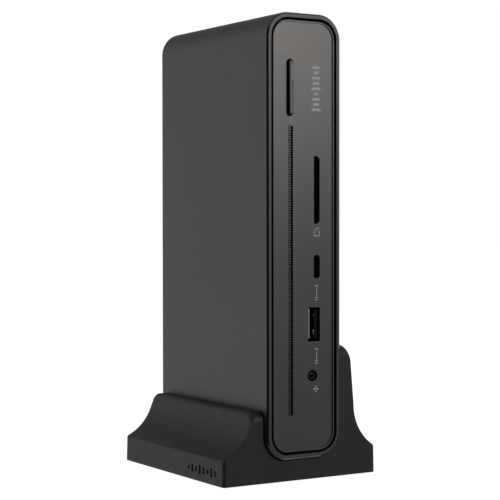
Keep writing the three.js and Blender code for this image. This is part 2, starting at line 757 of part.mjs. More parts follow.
function buildStand() {
  const stand = new THREE.Group();
  stand.position.set(0, standShift, footDrop);
  place(stand, 'stand_shell', standShell(), standPlastic);
  place(stand, 'stand_base_plate', standBasePlate(), zincSteel);
  const cornerNames = ['left_front', 'left_rear', 'right_front', 'right_rear'];
  screwCorners().forEach(([x, y], n) => {
    place(stand, `stand_screw_${cornerNames[n]}`, standScrewSolid(), zincSteel, [x, y, 0]);
    place(stand, `stand_foot_${cornerNames[n]}`, rubberFoot(), rubber, [x * 0.62, y * 0.9, 0]);
  });
  padSpots.forEach((pad) => place(stand, pad.name, padBox(pad, 0), rubber));
  return stand;
}

function buildFront(dock) {
  const at = ({ x, z }) => [x, socketFrontY, z];
  place(dock, 'front_carrier', frontCarrier(), blackPlastic);
  place(dock, 'front_panel', frontPanel(), panelMetal);
  place(dock, 'front_vent_mesh', frontVentMesh(), meshMetal);
  place(dock, 'power_button', powerButton(), buttonPlastic);
  place(dock, 'power_light_window', powerLightWindow(), lightWindow);
  place(dock, 'switch_plunger', switchPlunger(), blackPlastic);
  place(dock, 'push_switch', pushSwitch(), blackPlastic);
  place(dock, 'switch_board', switchBoard(), boardGreen);
  place(dock, 'switch_ribbon', switchRibbon(), ribbonFilm);
  switchScrewZs.forEach((z, n) => {
    const screw = screwAlongY(0.85, 3.6, 2, 1.2);
    const tipY = switchBoardBackY + gap - 3.6;
    place(dock, `switch_screw_${n ? 'upper' : 'lower'}`, screw, zincSteel, [buttonSlot.x, tipY, z]);
  });
  const readerAt = [cardReaderX, socketFrontY, cardSlot.z];
  place(dock, 'card_reader_cage', cardReaderCage(), socketSteel, readerAt);
  place(dock, 'card_reader_contacts', cardReaderContacts(), contactGold, readerAt);
  place(dock, 'front_small_socket', smallSocketShell(), socketSteel, at(smallPort));
  place(dock, 'front_small_tongue', smallSocketTongue(), chipBlack, at(smallPort));
  place(dock, 'front_large_socket', largeSocketShell(), socketSteel, at(largePort));
  place(dock, 'front_large_tongue', largeSocketTongue(), chipBlack, at(largePort));
  place(dock, 'audio_jack', audioJack(), blackPlastic, [audioJackX, socketFrontY, audioPort.z]);
}

function buildInside(dock) {
  place(dock, 'main_board', mainBoard(), boardGreen);
  place(dock, 'board_tray', boardTray(), zincSteel);
  boardScrewYs.forEach((y, row) => {
    boardScrewZs.forEach((z, column) => {
      const name = `board_screw_${row ? 'rear' : 'front'}_${column ? 'upper' : 'lower'}`;
      place(dock, name, boardScrew(), zincSteel, [boardX - gap, y, z]);
    });
  });
  place(dock, 'hub_chip', chip(hubChip), chipBlack);
  place(dock, 'video_chip', chip(videoChip), chipBlack);
  place(dock, 'hub_thermal_pad', thermalPad(hubChip), padGrey);
  place(dock, 'video_thermal_pad', thermalPad(videoChip), padGrey);
  place(dock, 'heat_sink', heatSink(), aluminium);
  place(dock, 'capacitor_front', capacitor(-4, 40), capacitorSkin);
  place(dock, 'capacitor_rear', capacitor(8, 40), capacitorSkin);
}

function buildRear(dock) {
  place(dock, 'rear_panel', rearPanel(), blackPlastic);
  rearScrews.forEach(({ name, x, z }) => {
    const screw = screwAlongY(1.25, 7, 2.3, 0.3);
    place(dock, name, screw, zincSteel, [x, rearPanelBackY + gap - 7, z]);
  });
  place(dock, 'power_inlet', powerInletJack(), blackPlastic, [powerInlet.x, rearSocketY, powerInlet.z]);
  const hostShell = smallSocketShell().rotate([0, 0, 180]);
  const hostTongue = smallSocketTongue().rotate([0, 0, 180]);
  place(dock, 'host_socket', hostShell, socketSteel, [hostPort.x, rearSocketY, hostPort.z]);
  place(dock, 'host_tongue', hostTongue, chipBlack, [hostPort.x, rearSocketY, hostPort.z]);
  const networkAt = [networkPort.x, rearSocketY, networkPort.z];
  place(dock, 'network_socket', networkSocket(), socketSteel, networkAt);
  place(dock, 'network_contacts', networkContacts(), contactGold, networkAt);
  const wideVideo = oneBodySocket(videoWidth, 15, 1, 12, 0, 11);
  place(dock, 'wide_video_socket', wideVideo, socketSteel, [videoX, rearSocketY, wideVideoZ]);
  tallVideoZs.forEach((z, n) => {
    const socket = oneBodySocket(videoWidth, 16.3, 0.5, 14, 0.4, 12);
    place(dock, `tall_video_socket_${n ? 'lower' : 'upper'}`, socket, socketSteel, [videoX, rearSocketY, z]);
  });
  rearLargeZs.forEach((z, n) => {
    const socket = oneBodySocket(largeShell.width, largeShell.height, 0.5, 14, 1, 11.1);
    const name = `rear_large_socket_${n ? 'lower' : 'upper'}`;
    place(dock, name, socket, socketSteel, [largePort.x, rearSocketY, z]);
  });
}

function buildDock() {
  const dock = new THREE.Group();
  dock.position.set(0, 0, footDrop + dockRestZ);
  place(dock, 'housing_sleeve', housingSleeve(), sleevePaint);
  buildFront(dock);
  buildInside(dock);
  buildRear(dock);
  return dock;
}

const group = new THREE.Group();
// The button stands proud of the front, so the rest moves back by half of that to keep the origin central.
const object = new THREE.Group();
object.position.y = buttonProud / 2;
object.add(buildStand(), buildDock());
group.add(object);

export default group;
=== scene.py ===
from math import acos, asin, cos, pi, radians, sin, sqrt
from types import SimpleNamespace as Spot

import bmesh
import bpy
from mathutils import Matrix, Vector
from mathutils.geometry import tessellate_polygon


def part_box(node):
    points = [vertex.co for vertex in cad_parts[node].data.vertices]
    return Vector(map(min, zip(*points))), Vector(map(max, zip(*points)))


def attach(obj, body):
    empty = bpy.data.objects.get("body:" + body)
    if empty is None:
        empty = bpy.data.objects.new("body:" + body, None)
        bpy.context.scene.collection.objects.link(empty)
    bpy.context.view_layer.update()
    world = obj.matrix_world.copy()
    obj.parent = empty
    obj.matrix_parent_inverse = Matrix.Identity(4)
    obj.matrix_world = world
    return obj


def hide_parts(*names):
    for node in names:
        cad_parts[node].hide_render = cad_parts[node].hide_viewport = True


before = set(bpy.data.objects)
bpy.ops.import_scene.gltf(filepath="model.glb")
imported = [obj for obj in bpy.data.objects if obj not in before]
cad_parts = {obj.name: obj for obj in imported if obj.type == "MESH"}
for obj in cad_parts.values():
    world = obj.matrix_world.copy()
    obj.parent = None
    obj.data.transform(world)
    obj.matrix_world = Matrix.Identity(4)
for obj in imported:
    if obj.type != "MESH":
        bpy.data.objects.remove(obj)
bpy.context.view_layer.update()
scene = bpy.context.scene

# --- places and sizes
# Lengths are in millimetres and become metres in closed_mesh. Points of the dock unit count
# from DOCK, below the middle of its sleeve, and points of the stand from STAND, below its shell.

MM = 0.001


def box_mm(node):
    low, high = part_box(node)
    return Vector(low) / MM, Vector(high) / MM


SLEEVE_LOW, SLEEVE_HIGH = box_mm("housing_sleeve")
STAND_LOW, STAND_HIGH = box_mm("stand_shell")
MID_Y = (SLEEVE_LOW.y + SLEEVE_HIGH.y) / 2
DOCK = Vector((0, MID_Y, SLEEVE_LOW.z))
STAND = Vector((0, (STAND_LOW.y + STAND_HIGH.y) / 2, STAND_LOW.z))


def dock_box(node):
    low, high = box_mm(node)
    return low - DOCK, high - DOCK


def stand_box(node):
    low, high = box_mm(node)
    return low - STAND, high - STAND


WIDTH = SLEEVE_HIGH.x - SLEEVE_LOW.x
HEIGHT = SLEEVE_HIGH.z - SLEEVE_LOW.z
MID_Z = HEIGHT / 2
FRONT = SLEEVE_LOW.y - MID_Y
REAR = SLEEVE_HIGH.y - MID_Y
CORNER = 9.5
WALL = 1.85
PANEL_GAP = 1.03
LIP = 0.5
RECESS = 0.8
FACE = FRONT + RECESS
LIP_FRONT = dock_box("front_panel")[0].y
PANEL_BACK = dock_box("front_panel")[1].y
SOCKET_FRONT = dock_box("front_large_socket")[0].y

VENT = Spot(x=-5.81, z=71.25, width=2.16, height=109.3)
BUTTON = Spot(x=-6.0, z=140.25, width=3.0, height=21.5)
CARD = Spot(x=6.16, z=101.86, width=2.58, height=25.78)
SMALL_PORT = Spot(x=6.15, z=72.65, width=2.84, height=9.1)
LARGE_PORT = Spot(x=4.84, z=50.7, width=5.46, height=13.0)
LARGE_TONGUE_X = 1.45
AUDIO = Spot(x=4.15, z=31.15, radius=2.2)
REAR_SOCKETS = dock_box("host_socket")[1].y
REAR_FACE = dock_box("rear_panel")[1].y
REAR_INNER = dock_box("rear_panel")[0].y

# --- materials

NOISE_LOW, NOISE_HIGH = 0.3, 0.7  # a noise texture hardly goes past these


def set_inputs(node, values):
    """Sets a node's own sockets, given by name."""
    for name, value in values.items():
        node.inputs[name].default_value = value


def set_range(node, from_min, from_max, to_min, to_max):
    set_inputs(node, {"From Min": from_min, "From Max": from_max, "To Min": to_min, "To Max": to_max})


def node_tools(tree):
    """add makes a node with its properties and its own sockets set, and join links two sockets."""

    def add(kind, values={}, **properties):
        node = tree.nodes.new(kind)
        for name, value in properties.items():
            setattr(node, name, value)
        set_inputs(node, values)
        return node

    def join(source, out, target, into):
        tree.links.new(source.outputs[out], target.inputs[into])

    return add, join


def material(name, tints, metallic, rough, grain, depth, drift=30, stretch=(1, 1, 1), coat=0, shine=0.5):
    """A moulded, painted or metal surface. tints are the two colours it drifts between over drift mm,
    rough the range of its roughness, grain the size of its texture and depth the texture's height, in mm.
    shine is how strongly its bare surface mirrors, where 0.5 is an ordinary plastic."""
    made = bpy.data.materials.new(name)
    made.use_nodes = True
    add, join = node_tools(made.node_tree)
    shader = made.node_tree.nodes["Principled BSDF"]
    set_inputs(shader, {"Metallic": metallic, "Specular IOR Level": shine})
    set_inputs(shader, {"Coat Weight": coat, "Coat Roughness": 0.2})
    place = add("ShaderNodeTexCoord")
    mapping = add("ShaderNodeMapping", {"Scale": stretch})
    join(place, "Object", mapping, "Vector")

    def noise(size, detail):
        node = add("ShaderNodeTexNoise", {"Scale": 1 / (size * MM), "Detail": detail})
        join(mapping, "Vector", node, "Vector")
        return node

    wide, middle, fine = noise(drift, 3), noise(grain * 7, 4), noise(grain, 2)
    ramp = add("ShaderNodeValToRGB")
    for stop, position, tint in zip(ramp.color_ramp.elements, (NOISE_LOW, NOISE_HIGH), tints):
        stop.position = position
        stop.color = (*tint, 1)
    blend = add("ShaderNodeMix", {"Factor": 0.35}, data_type="FLOAT")
    join(wide, "Fac", blend, "A")
    join(middle, "Fac", blend, "B")
    join(blend, "Result", ramp, "Fac")
    join(ramp, "Color", shader, "Base Color")
    spread = add("ShaderNodeMapRange")
    set_range(spread, NOISE_LOW, NOISE_HIGH, *rough)
    join(middle, "Fac", spread, "Value")
    join(spread, "Result", shader, "Roughness")
    bump = add("ShaderNodeBump", {"Strength": 0.6, "Distance": depth * MM})
    join(fine, "Fac", bump, "Height")
    join(bump, "Normal", shader, "Normal")
    return made


def greys(dark, light, warm_dark=0.0, warm_light=0.0):
    """Two linear greys; each one's warm shifts it a little towards red."""
    return [(v * (1 + warm), v, v * (1 - warm)) for v, warm in ((dark, warm_dark), (light, warm_light))]


SLEEVE_TONES = greys(0.128, 0.138, 0.012, 0.016)
SLEEVE_PAINT = material("sleeve_anodised", SLEEVE_TONES, 0.75, (0.42, 0.48), 0.12, 0.003)
CUT_EDGE = material("cut_edge", greys(0.14, 0.17, 0.02, 0.03), 1, (0.12, 0.17), 0.2, 0.0005)
PANEL_METAL = material("panel_anodised", greys(0.149, 0.164, 0.04, 0.045), 0.85, (0.34, 0.4), 0.1, 0.002)
BLACK_ABS = material("black_plastic", greys(0.005, 0.008), 0, (0.5, 0.65), 0.25, 0.008)
REAR_ABS = material("rear_plastic", greys(0.018, 0.023), 0, (0.45, 0.58), 0.3, 0.012)
BUTTON_SKIN = material("button_skin", greys(0.105, 0.12, 0.01, 0.01), 0.8, (0.34, 0.4), 0.12, 0.001)
LIGHT_WINDOW = material("light_window", greys(0.14, 0.17), 0.3, (0.25, 0.32), 0.2, 0.001, coat=0.3)
STAND_ABS = material("stand_plastic", greys(0.038, 0.043, -0.05, -0.05), 0, (0.44, 0.52), 0.3, 0.005)
MESH_METAL = material("mesh_paint", greys(0.15, 0.18, 0.03, 0.035), 0.85, (0.34, 0.42), 0.15, 0.002)
NICKEL = material("nickel", greys(0.5, 0.62, 0.01, 0.015), 1, (0.2, 0.32), 0.15, 0.002, stretch=(1, 6, 1))
# The next two steels are nickel drawn darker: painted shade inside the front sockets, the card cage and the
# headset jack.
DEEP_SHADE_STEEL = material("dark_steel", greys(0.035, 0.055, 0.03, 0.04), 1, (0.3, 0.42), 0.15, 0.002)
SHADED_STEEL = material("shaded_steel", greys(0.13, 0.17, 0.02, 0.03), 0.9, (0.38, 0.5), 0.15, 0.002)
GOLD = material("gold", ((0.8, 0.56, 0.22), (0.9, 0.66, 0.3)), 1, (0.2, 0.3), 0.1, 0.002)
INSULATOR = material("insulator", greys(0.012, 0.018, 0.06, 0.1), 0, (0.55, 0.65), 0.15, 0.004, shine=0.12)
INK = material("printed_ink", greys(0.8, 0.88, 0.02, 0.02), 0, (0.4, 0.5), 0.1, 0.002)
# A darker copy of the stand's plastic: painted shade on the lower sides of its base.
STAND_SIDE_SHADE = material("stand_band", greys(0.0235, 0.027, -0.05, -0.05), 0, (0.44, 0.52), 0.3, 0.005)
RUBBER = material("rubber", greys(0.012, 0.017), 0, (0.75, 0.9), 0.4, 0.02)
ZINC = material("zinc", greys(0.42, 0.52, -0.01, 0.02), 1, (0.28, 0.42), 0.5, 0.004, drift=6)
BASE_PAINT = material("base_paint", greys(0.022, 0.03), 0.2, (0.4, 0.55), 0.5, 0.015)
MASK_GREENS = ((0.005, 0.055, 0.025), (0.008, 0.075, 0.035))
BOARD = material("solder_mask", MASK_GREENS, 0, (0.3, 0.42), 0.6, 0.01, coat=0.4)
CHIP = material("chip_package", greys(0.012, 0.02), 0, (0.45, 0.6), 0.2, 0.01)
THERMAL = material("thermal_pad", ((0.26, 0.33, 0.4), (0.3, 0.38, 0.45)), 0, (0.8, 0.95), 0.4, 0.03)
ALUMINIUM = material("mill_aluminium", greys(0.5, 0.6), 1, (0.3, 0.42), 0.2, 0.008, stretch=(1, 1, 0.1))
SLEEVE_BLUES = ((0.02, 0.02, 0.035), (0.03, 0.03, 0.05))
CAPACITOR = material("capacitor_skin", SLEEVE_BLUES, 0.1, (0.25, 0.35), 0.5, 0.01)
RIBBON = material("ribbon_film", greys(0.6, 0.68, 0.05, 0.06), 0, (0.3, 0.45), 0.3, 0.005)

# --- mesh building

SHARP = 32.0  # degrees between faces from which an edge is drawn sharp
AROUND = ((-1, -1), (1, -1), (1, 1), (-1, 1))  # the corners of a square, in order


def closed_mesh(name, parts, origin):
    """A mesh of parts, closed skins as (points, faces) in millimetres from origin."""
    shape = bmesh.new()
    for points, faces in parts:
        corners = [shape.verts.new((origin + Vector(p)) * MM) for p in points]
        for face in faces:
            shape.faces.new([corners[i] for i in face])
    bmesh.ops.remove_doubles(shape, verts=shape.verts, dist=2e-7)
    bmesh.ops.recalc_face_normals(shape, faces=shape.faces)
    mesh = bpy.data.meshes.new(name)
    shape.to_mesh(mesh)
    shape.free()
    return mesh


def add_object(name, data):
    made = bpy.data.objects.new(name, data)
    scene.collection.objects.link(made)
    return made


def add_piece(name, parts, skin, body, origin, nodes, sharp=SHARP):
    """One object that rides on body and takes the place of the CAD nodes."""
    mesh = closed_mesh(name, parts, origin)
    mesh.materials.append(skin)
    mesh.polygons.foreach_set("use_smooth", [True] * len(mesh.polygons))
    mesh.set_sharp_from_angle(angle=radians(sharp))
    piece = add_object(name, mesh)
    piece.modifiers.new("even_shading", "WEIGHTED_NORMAL").keep_sharp = True
    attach(piece, body)
    if nodes:
        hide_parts(*nodes)
    return piece


def dock_piece(name, parts, skin, slot_name, *nodes, sharp=SHARP):
    return add_piece(name, parts, skin, "dock_unit", DOCK, nodes, sharp)


def stand_piece(name, parts, skin, slot_name, *nodes, sharp=SHARP):
    return add_piece(name, parts, skin, "stand", STAND, nodes, sharp)


def bands(start, count, length, wrap=False):
    """Faces between length rings of count points each, numbered from start."""
    faces = []
    for k in range(length if wrap else length - 1):
        a, b = start + k * count, start + (k + 1) % length * count
        faces += [[a + i, a + (i + 1) % count, b + (i + 1) % count, b + i] for i in range(count)]
    return faces


def loft(rings, wrap=False):
    """A closed skin over rings of points. wrap joins the last to the first, else both ends are capped."""
    count = len(rings[0])
    points = [p for ring in rings for p in ring]
    faces = bands(0, count, len(rings), wrap)
    if not wrap:
        faces += [list(range(count)), [len(points) - count + i for i in range(count)]]
    return points, faces


def arc(x, z, radius, start, end, steps):
    """Points on an arc in (x, z), angles in degrees, both ends included."""
    turn = [radians(start + (end - start) * n / steps) for n in range(steps + 1)]
    return [(x + radius * cos(a), z + radius * sin(a)) for a in turn]


def rounded_rect(x, z, width, height, radius, steps=6):
    """An outline that can grow: rounded_rect(...)(0.2) is the same outline 0.2 mm further out."""

    def outline(grow=0.0):
        r = max(radius + grow, 0.02)
        half_w, half_h = width / 2 + grow - r, height / 2 + grow - r
        points = []
        for sx, sz, a in ((1, -1, -90), (1, 1, 0), (-1, 1, 90), (-1, -1, 180)):
            points += arc(x + sx * half_w, z + sz * half_h, r, a, a + 90, steps)
        return points

    return outline


def cut_rect(x, z, width, height, cuts):
    """A rectangle with its corners cut off. cuts: lower right, upper right, upper left, lower left."""

    def outline(grow=0.0):
        half_w, half_h = width / 2 + grow, height / 2 + grow
        points = []
        for (sx, sz), cut in zip(((1, -1), (1, 1), (-1, 1), (-1, -1)), cuts):
            cut = max(0.01, cut + grow * (2 - sqrt(2)))
            ends = [(x + sx * (half_w - cut), z + sz * half_h), (x + sx * half_w, z + sz * (half_h - cut))]
            points += ends if sx * sz < 0 else ends[::-1]
        return points

    return outline


def circle(x, z, radius, steps=32):
    def outline(grow=0.0):
        return arc(x, z, radius + grow, 0, 360 - 360 / steps, steps - 1)

    return outline


def rings_of(outline, steps):
    """Rings of an outline at (grow, y) steps."""
    return [[(x, y, z) for x, z in outline(grow)] for grow, y in steps]


def eased(y, grow, way=1):
    """(grow, y) steps over a softened edge at y. grow is positive for a hole and negative for a solid's own
    edge. way is 1 where the material lies behind y and -1 where it lies before it."""
    depth = abs(grow) * way
    return [(grow, y), (grow * 0.3, y + depth * 0.3), (0, y + depth)]


def plate(outer, *holes):
    """A flat plate. outer and each hole is (outline, steps), from the front face round to the back face."""
    points, faces = [], []
    skins = [rings_of(*skin) for skin in (outer, *holes)]
    for rings in skins:
        faces += bands(len(points), len(rings[0]), len(rings))
        points += [p for ring in rings for p in ring]
    for end in (0, -1):
        loops = [[Vector(p) for p in rings[end]] for rings in skins]
        start = len(points)
        points += [tuple(p) for loop in loops for p in loop]
        faces += [[start + i for i in face] for face in tessellate_polygon(loops)]
    return points, faces


def soft_steps(y0, y1, radius, steps=2):
    """(grow, y) steps of a solid from y0 to y1 whose two ends have rounded edges."""
    turn = [radians(90 * n / steps) for n in range(steps + 1)]
    front = [(-radius * (1 - sin(a)), y0 + radius * (1 - cos(a))) for a in turn]
    return front + [(grow, y0 + y1 - y) for grow, y in reversed(front)]


def soft_box(x0, x1, y0, y1, z0, z1, radius=0.2, corner=None):
    """A box with rounded edges all round; corner is the radius of its outline in (x, z)."""
    outline = rounded_rect((x0 + x1) / 2, (z0 + z1) / 2, x1 - x0, z1 - z0, corner or radius * 1.01, 3)
    return loft(rings_of(outline, soft_steps(y0, y1, radius)))


def lathe(profile, axis, steps=32):
    """A solid turned from (radius, height) points about the axis "x", "y" or "z", closed at both ends."""
    order = {"x": (2, 0, 1), "y": (0, 2, 1), "z": (0, 1, 2)}[axis]
    turn = [2 * pi * n / steps for n in range(steps)]
    rings = [[(r * cos(a), r * sin(a), height) for a in turn] for r, height in profile]
    return loft([[[point[k] for k in order] for point in ring] for ring in rings])


def moved(part, x=0.0, y=0.0, z=0.0):
    points, faces = part
    return [(px + x, py + y, pz + z) for px, py, pz in points], faces


def laid(part):
    """The part with its Y and Z exchanged, so that a plate or soft box built along Y lies flat."""
    points, faces = part
    return [(px, pz, py) for px, py, pz in points], faces


def rearward(parts, at):
    """The parts turned half round the vertical, so that they face the rear, and moved to a point."""
    return [moved(([(-x, -y, z) for x, y, z in points], faces), *at) for points, faces in parts]


def carve(piece, parts, origin):
    """Cuts parts, closed skins in millimetres from origin, out of a piece."""
    tool = add_object("tool", closed_mesh("tool", parts, origin))
    cut = piece.modifiers.new("carve", "BOOLEAN")
    cut.object, cut.operation, cut.solver = tool, "DIFFERENCE", "EXACT"
    weights = piece.modifiers["even_shading"]
    weights.show_viewport = False
    mesh = bpy.data.meshes.new_from_object(piece.evaluated_get(bpy.context.evaluated_depsgraph_get()))
    piece.modifiers.remove(cut)
    weights.show_viewport = True
    piece.data = mesh
    mesh.set_sharp_from_angle(angle=radians(SHARP))
    bpy.data.objects.remove(tool)


def second_skin(piece, skin, chosen):
    """Gives the faces for which chosen(centre in mm, normal) is true another material."""
    piece.data.materials.append(skin)
    for face in piece.data.polygons:
        if chosen(face.center / MM, face.normal):
            face.material_index = len(piece.data.materials) - 1


# --- sleeve and front panel


def edge_steps(y, way, chamfer):
    """(grow, y) steps over one rim of the sleeve, from outside to inside. way points into the sleeve."""
    soft = 0.05
    outside = [(0, y + way * (chamfer + soft)), (-soft / 3, y + way * chamfer)]
    top = [(-chamfer, y + way * soft / 3), (-chamfer - soft, y), (-WALL + 0.08, y)]
    return [*outside, *top, (-WALL + 0.02, y + way * 0.02), (-WALL, y + way * 0.08)]


def build_sleeve():
    outline = rounded_rect(0, MID_Z, WIDTH, HEIGHT, CORNER, 20)
    rings = rings_of(outline, edge_steps(FRONT, 1, 0.68)[::-1] + edge_steps(REAR, -1, 0.25))
    parts = [loft(rings, wrap=True)]
    sleeve = dock_piece("sleeve", parts, SLEEVE_PAINT, "sleeve", "housing_sleeve", sharp=20)
    second_skin(sleeve, CUT_EDGE, lambda centre, normal: 0.3 < abs(normal.y) < 0.95)


def opening(spot, radius, steps=4):
    return rounded_rect(spot.x, spot.z, spot.width, spot.height, radius, steps)


def panel_hole(outline, bevel=0.1):
    return outline, [*eased(FACE, bevel), (0, PANEL_BACK)]


def build_front_panel():
    edge = WALL + PANEL_GAP
    outline = rounded_rect(0, MID_Z, WIDTH - 2 * edge, HEIGHT - 2 * edge, CORNER - edge, 16)
    soft = 0.05
    inner_wall = eased(FACE, -soft, -1) + eased(LIP_FRONT, soft)[::-1]
    steps = [(grow - LIP, y) for grow, y in inner_wall] + eased(LIP_FRONT, -soft) + [(0, PANEL_BACK)]
    holes = [
        panel_hole(opening(VENT, 0.3)),
        panel_hole(opening(BUTTON, BUTTON.width / 2 - 0.01, 8), 0.14),
        panel_hole(cut_rect(CARD.x, CARD.z, CARD.width, CARD.height, (1.1, 1.1, 0.05, 0.05)), 0.07),
        panel_hole(opening(SMALL_PORT, SMALL_PORT.width / 2 - 0.01, 8)),
        panel_hole(opening(LARGE_PORT, 0.3)),
        panel_hole(circle(AUDIO.x, AUDIO.z, AUDIO.radius)),
    ]
    parts = [plate((outline, steps), *holes)]
    panel = dock_piece("panel", parts, PANEL_METAL, "front_panel", "front_panel")
    face, middle = MID_Y + FACE - 0.02, SLEEVE_LOW.z + MID_Z

    # Painted shade: the inner wall of the raised lip round the panel's face is drawn in black plastic, for
    # the shadow along that step.
    def shaded_lip_wall(centre, normal):
        inward = normal.x * centre.x + normal.z * (centre.z - middle) < 0
        return inward and centre.y < face and abs(normal.y) < 0.6

    second_skin(panel, BLACK_ABS, shaded_lip_wall)


def build_front_carrier():
    """The black frame behind the panel. Only its edge in the gap and the walls of its openings show."""
    low, high = dock_box("front_carrier")
    outline = rounded_rect(0, MID_Z, high.x - low.x, high.z - low.z, CORNER - WALL - 0.3, 12)
    front, step, flange_back = PANEL_BACK + 0.3, FRONT + 3.1, FRONT + 5.2
    steps = [(-1.7, front), (-1.7, step - 0.1), (-1.6, step), (0, step), (0, flange_back)]
    holes = [
        (rounded_rect(x, z, width, height, radius, 3), [(0, front), (0, flange_back)])
        for x, z, width, height, radius in (
            (VENT.x, VENT.z, 4.6, VENT.height + 2.4, 0.3),
            (BUTTON.x, BUTTON.z, 4.4, BUTTON.height + 2.2, 0.5),
            (6.04, CARD.z, 4.0, 28.6, 0.2),
            (SMALL_PORT.x, SMALL_PORT.z, 3.7, 9.7, 1.8),
            (LARGE_PORT.x, LARGE_PORT.z, 6.5, 14.1, 0.3),
            (4.69, AUDIO.z, 6.6, 6.9, 0.3),
        )
    ]
    dock_piece("carrier", [plate((outline, steps), *holes)], BLACK_ABS, "front_carrier", "front_carrier")


def perforated(x, z0, z1, y0, y1, columns, step, pitch, radius, side):
    """A strip with columns of round holes between z0 and z1, and side mm of plain edge."""
    left, right = x - columns * step / 2, x + columns * step / 2
    rows = int((z1 - z0) / pitch)
    top = z0 + rows * pitch
    points, faces = [], []

    def face(*corners):
        faces.append([len(points) + i for i in range(len(corners))])
        points.extend((x, y, z) for (x, z), y in corners)

    def sheet(*loop):
        """One face of the strip, on its front and on its back."""
        for y in (y0, y1):
            face(*((p, y) for p in loop))

    def wall(a, b):
        """One face through the strip's thickness."""
        face((a, y0), (b, y0), (b, y1), (a, y1))

    half = pitch / 2
    for column in range(columns):
        x0, x1 = left + column * step, left + (column + 1) * step
        for row in range(rows):
            low = z0 + row * pitch
            centre = low + half
            hole = arc((x0 + x1) / 2, centre, radius, 0, 315, 7)
            east = [(x1, low), (x1, centre), (x1, low + pitch)]
            west = [(x0, low + pitch), (x0, centre), (x0, low)]
            sheet(east[2], west[0], hole[3], hole[2], hole[1])
            sheet(west[2], east[0], hole[7], hole[6], hole[5])
            sheet(east[1], east[2], hole[1], hole[0])
            sheet(east[0], east[1], hole[0], hole[7])
            sheet(west[0], west[1], hole[4], hole[3])
            sheet(west[1], west[2], hole[5], hole[4])
            for a, b in zip(hole, hole[1:] + hole[:1]):
                wall(a, b)
    edges = (left - side, right + side)
    for row in range(2 * rows):
        low, high = z0 + row * half, z0 + (row + 1) * half
        sheet((edges[0], low), (left, low), (left, high), (edges[0], high))
        sheet((right, low), (edges[1], low), (edges[1], high), (right, high))
        for edge in edges:
            wall((edge, low), (edge, high))
    across = [edges[0], *(left + n * step for n in range(columns + 1)), edges[1]]
    ends = ((z0 - side, z0), (top, top + side))
    for near, far in ends:
        for a, b in zip(across, across[1:]):
            sheet((a, near), (b, near), (b, far), (a, far))
        for edge in edges:
            wall((edge, near), (edge, far))
    for a, b in zip(across, across[1:]):
        for level in (z0 - side, top + side):
            wall((a, level), (b, level))
    return points, faces


MESH_HOLES = {"columns": 4, "step": 0.82, "pitch": 0.918, "radius": 0.36, "side": 0.2}

# --- power button


def build_button():
    low, high = dock_box("power_button")
    width, tip, soft = 1.88, low.y, 0.16
    half = BUTTON.height / 2 - 0.3
    outline = rounded_rect(BUTTON.x, BUTTON.z, width, 2 * half, width / 2 - 0.01, 8)
    rounding_steps = soft_steps(tip, FACE, soft, 5)[:6]
    rings = rings_of(outline, [(-0.6, tip), *rounding_steps, (0, FACE), (0, PANEL_BACK + 0.9)])

    def ramp(y, z):
        """The face slopes back at both ends of the bar."""
        top, foot = 1.6, 0.8
        near_top = max(0, (z - (BUTTON.z + half - top)) / top)
        near_foot = max(0, (BUTTON.z - half + foot - z) / foot)
        back = (FACE - 0.25 - tip) * (near_top**2 + 0.7 * near_foot**2)
        share = max(0, (FACE - y) / (FACE - tip))
        return y + back * share

    rings = [[(x, ramp(y, z), z) for x, y, z in ring] for ring in rings]
    x, z = BUTTON.x, BUTTON.z
    stem = soft_box(x - 1.1, x + 1.1, PANEL_BACK + 0.6, high.y, z - 1.1, z + 1.1, 0.1, 1.05)
    parts, body = [loft(rings), stem], "power_button"
    button = add_piece("button", parts, BUTTON_SKIN, body, DOCK, ["power_button"])
    # Painted shade: every face of the button except its front is drawn in black plastic, for its dark sides
    # in the slot.
    second_skin(button, BLACK_ABS, lambda centre, normal: normal.y > -0.3)
    low, high = dock_box("power_light_window")
    window = soft_box(low.x, high.x, tip, tip + 0.4, low.z, high.z, 0.04, 0.3)
    add_piece("button_light", [window], LIGHT_WINDOW, body, DOCK, ["power_light_window"])


build_sleeve()
build_front_panel()
build_front_carrier()
low, high = dock_box("front_vent_mesh")
z, reach = VENT.z, 55
part = perforated(VENT.x + 0.21, z - reach, z + reach, low.y + 0.02, high.y, **MESH_HOLES)
dock_piece("vent_mesh", [part], MESH_METAL, "vent_mesh", "front_vent_mesh", sharp=60)
build_button()

# --- sockets
# Each socket is made about its own middle with its mouth at y = 0, running back along +Y.


def shell_part(width, height, radius, wall, depth, flare=0.0, steps=5):
    """A socket's metal shell: a tube whose mouth may flare outwards."""
    soft = 0.06
    mouth = [(-wall + flare, soft), (-wall + soft + flare, 0), (-soft, 0), (0, soft)]
    walls = [(0, depth), (-wall, depth), (-wall, 0.9 + flare)]
    return loft(rings_of(rounded_rect(0, 0, width, height, radius, steps), mouth + walls), wrap=True)


def contact_rows(count, pitch, width, x, y0, y1, thickness=0.06):
    """Contact strips along Y, one above the other, with their faces at x."""
    middles = [(n - (count - 1) / 2) * pitch for n in range(count)]
    half = width / 2
    return [soft_box(x - thickness, x + thickness, y0, y1, z - half, z + half, 0.03) for z in middles]


def small_socket_parts():
    width, height, depth = 3.3, 9.3, 9.0
    shell = [shell_part(width, height, width / 2 - 0.02, 0.4, depth - 0.6, 0.06, 8)]
    shell.append(soft_box(-1.2, 1.2, depth - 0.6, depth, -4.2, 4.2, 0.1, 1.1))
    tongue = [
        soft_box(-0.35, 0.35, 0.9, depth - 2, -3.2, 3.2, 0.12, 0.3),
        soft_box(-0.8, 0.8, 4.4, depth - 1, -3.6, 3.6, 0.1),
    ]
    contacts = contact_rows(12, 0.5, 0.26, -0.36, 1.3, 4.5, 0.03)
    return shell, tongue, contacts + contact_rows(12, 0.5, 0.26, 0.36, 1.3, 4.5, 0.03)


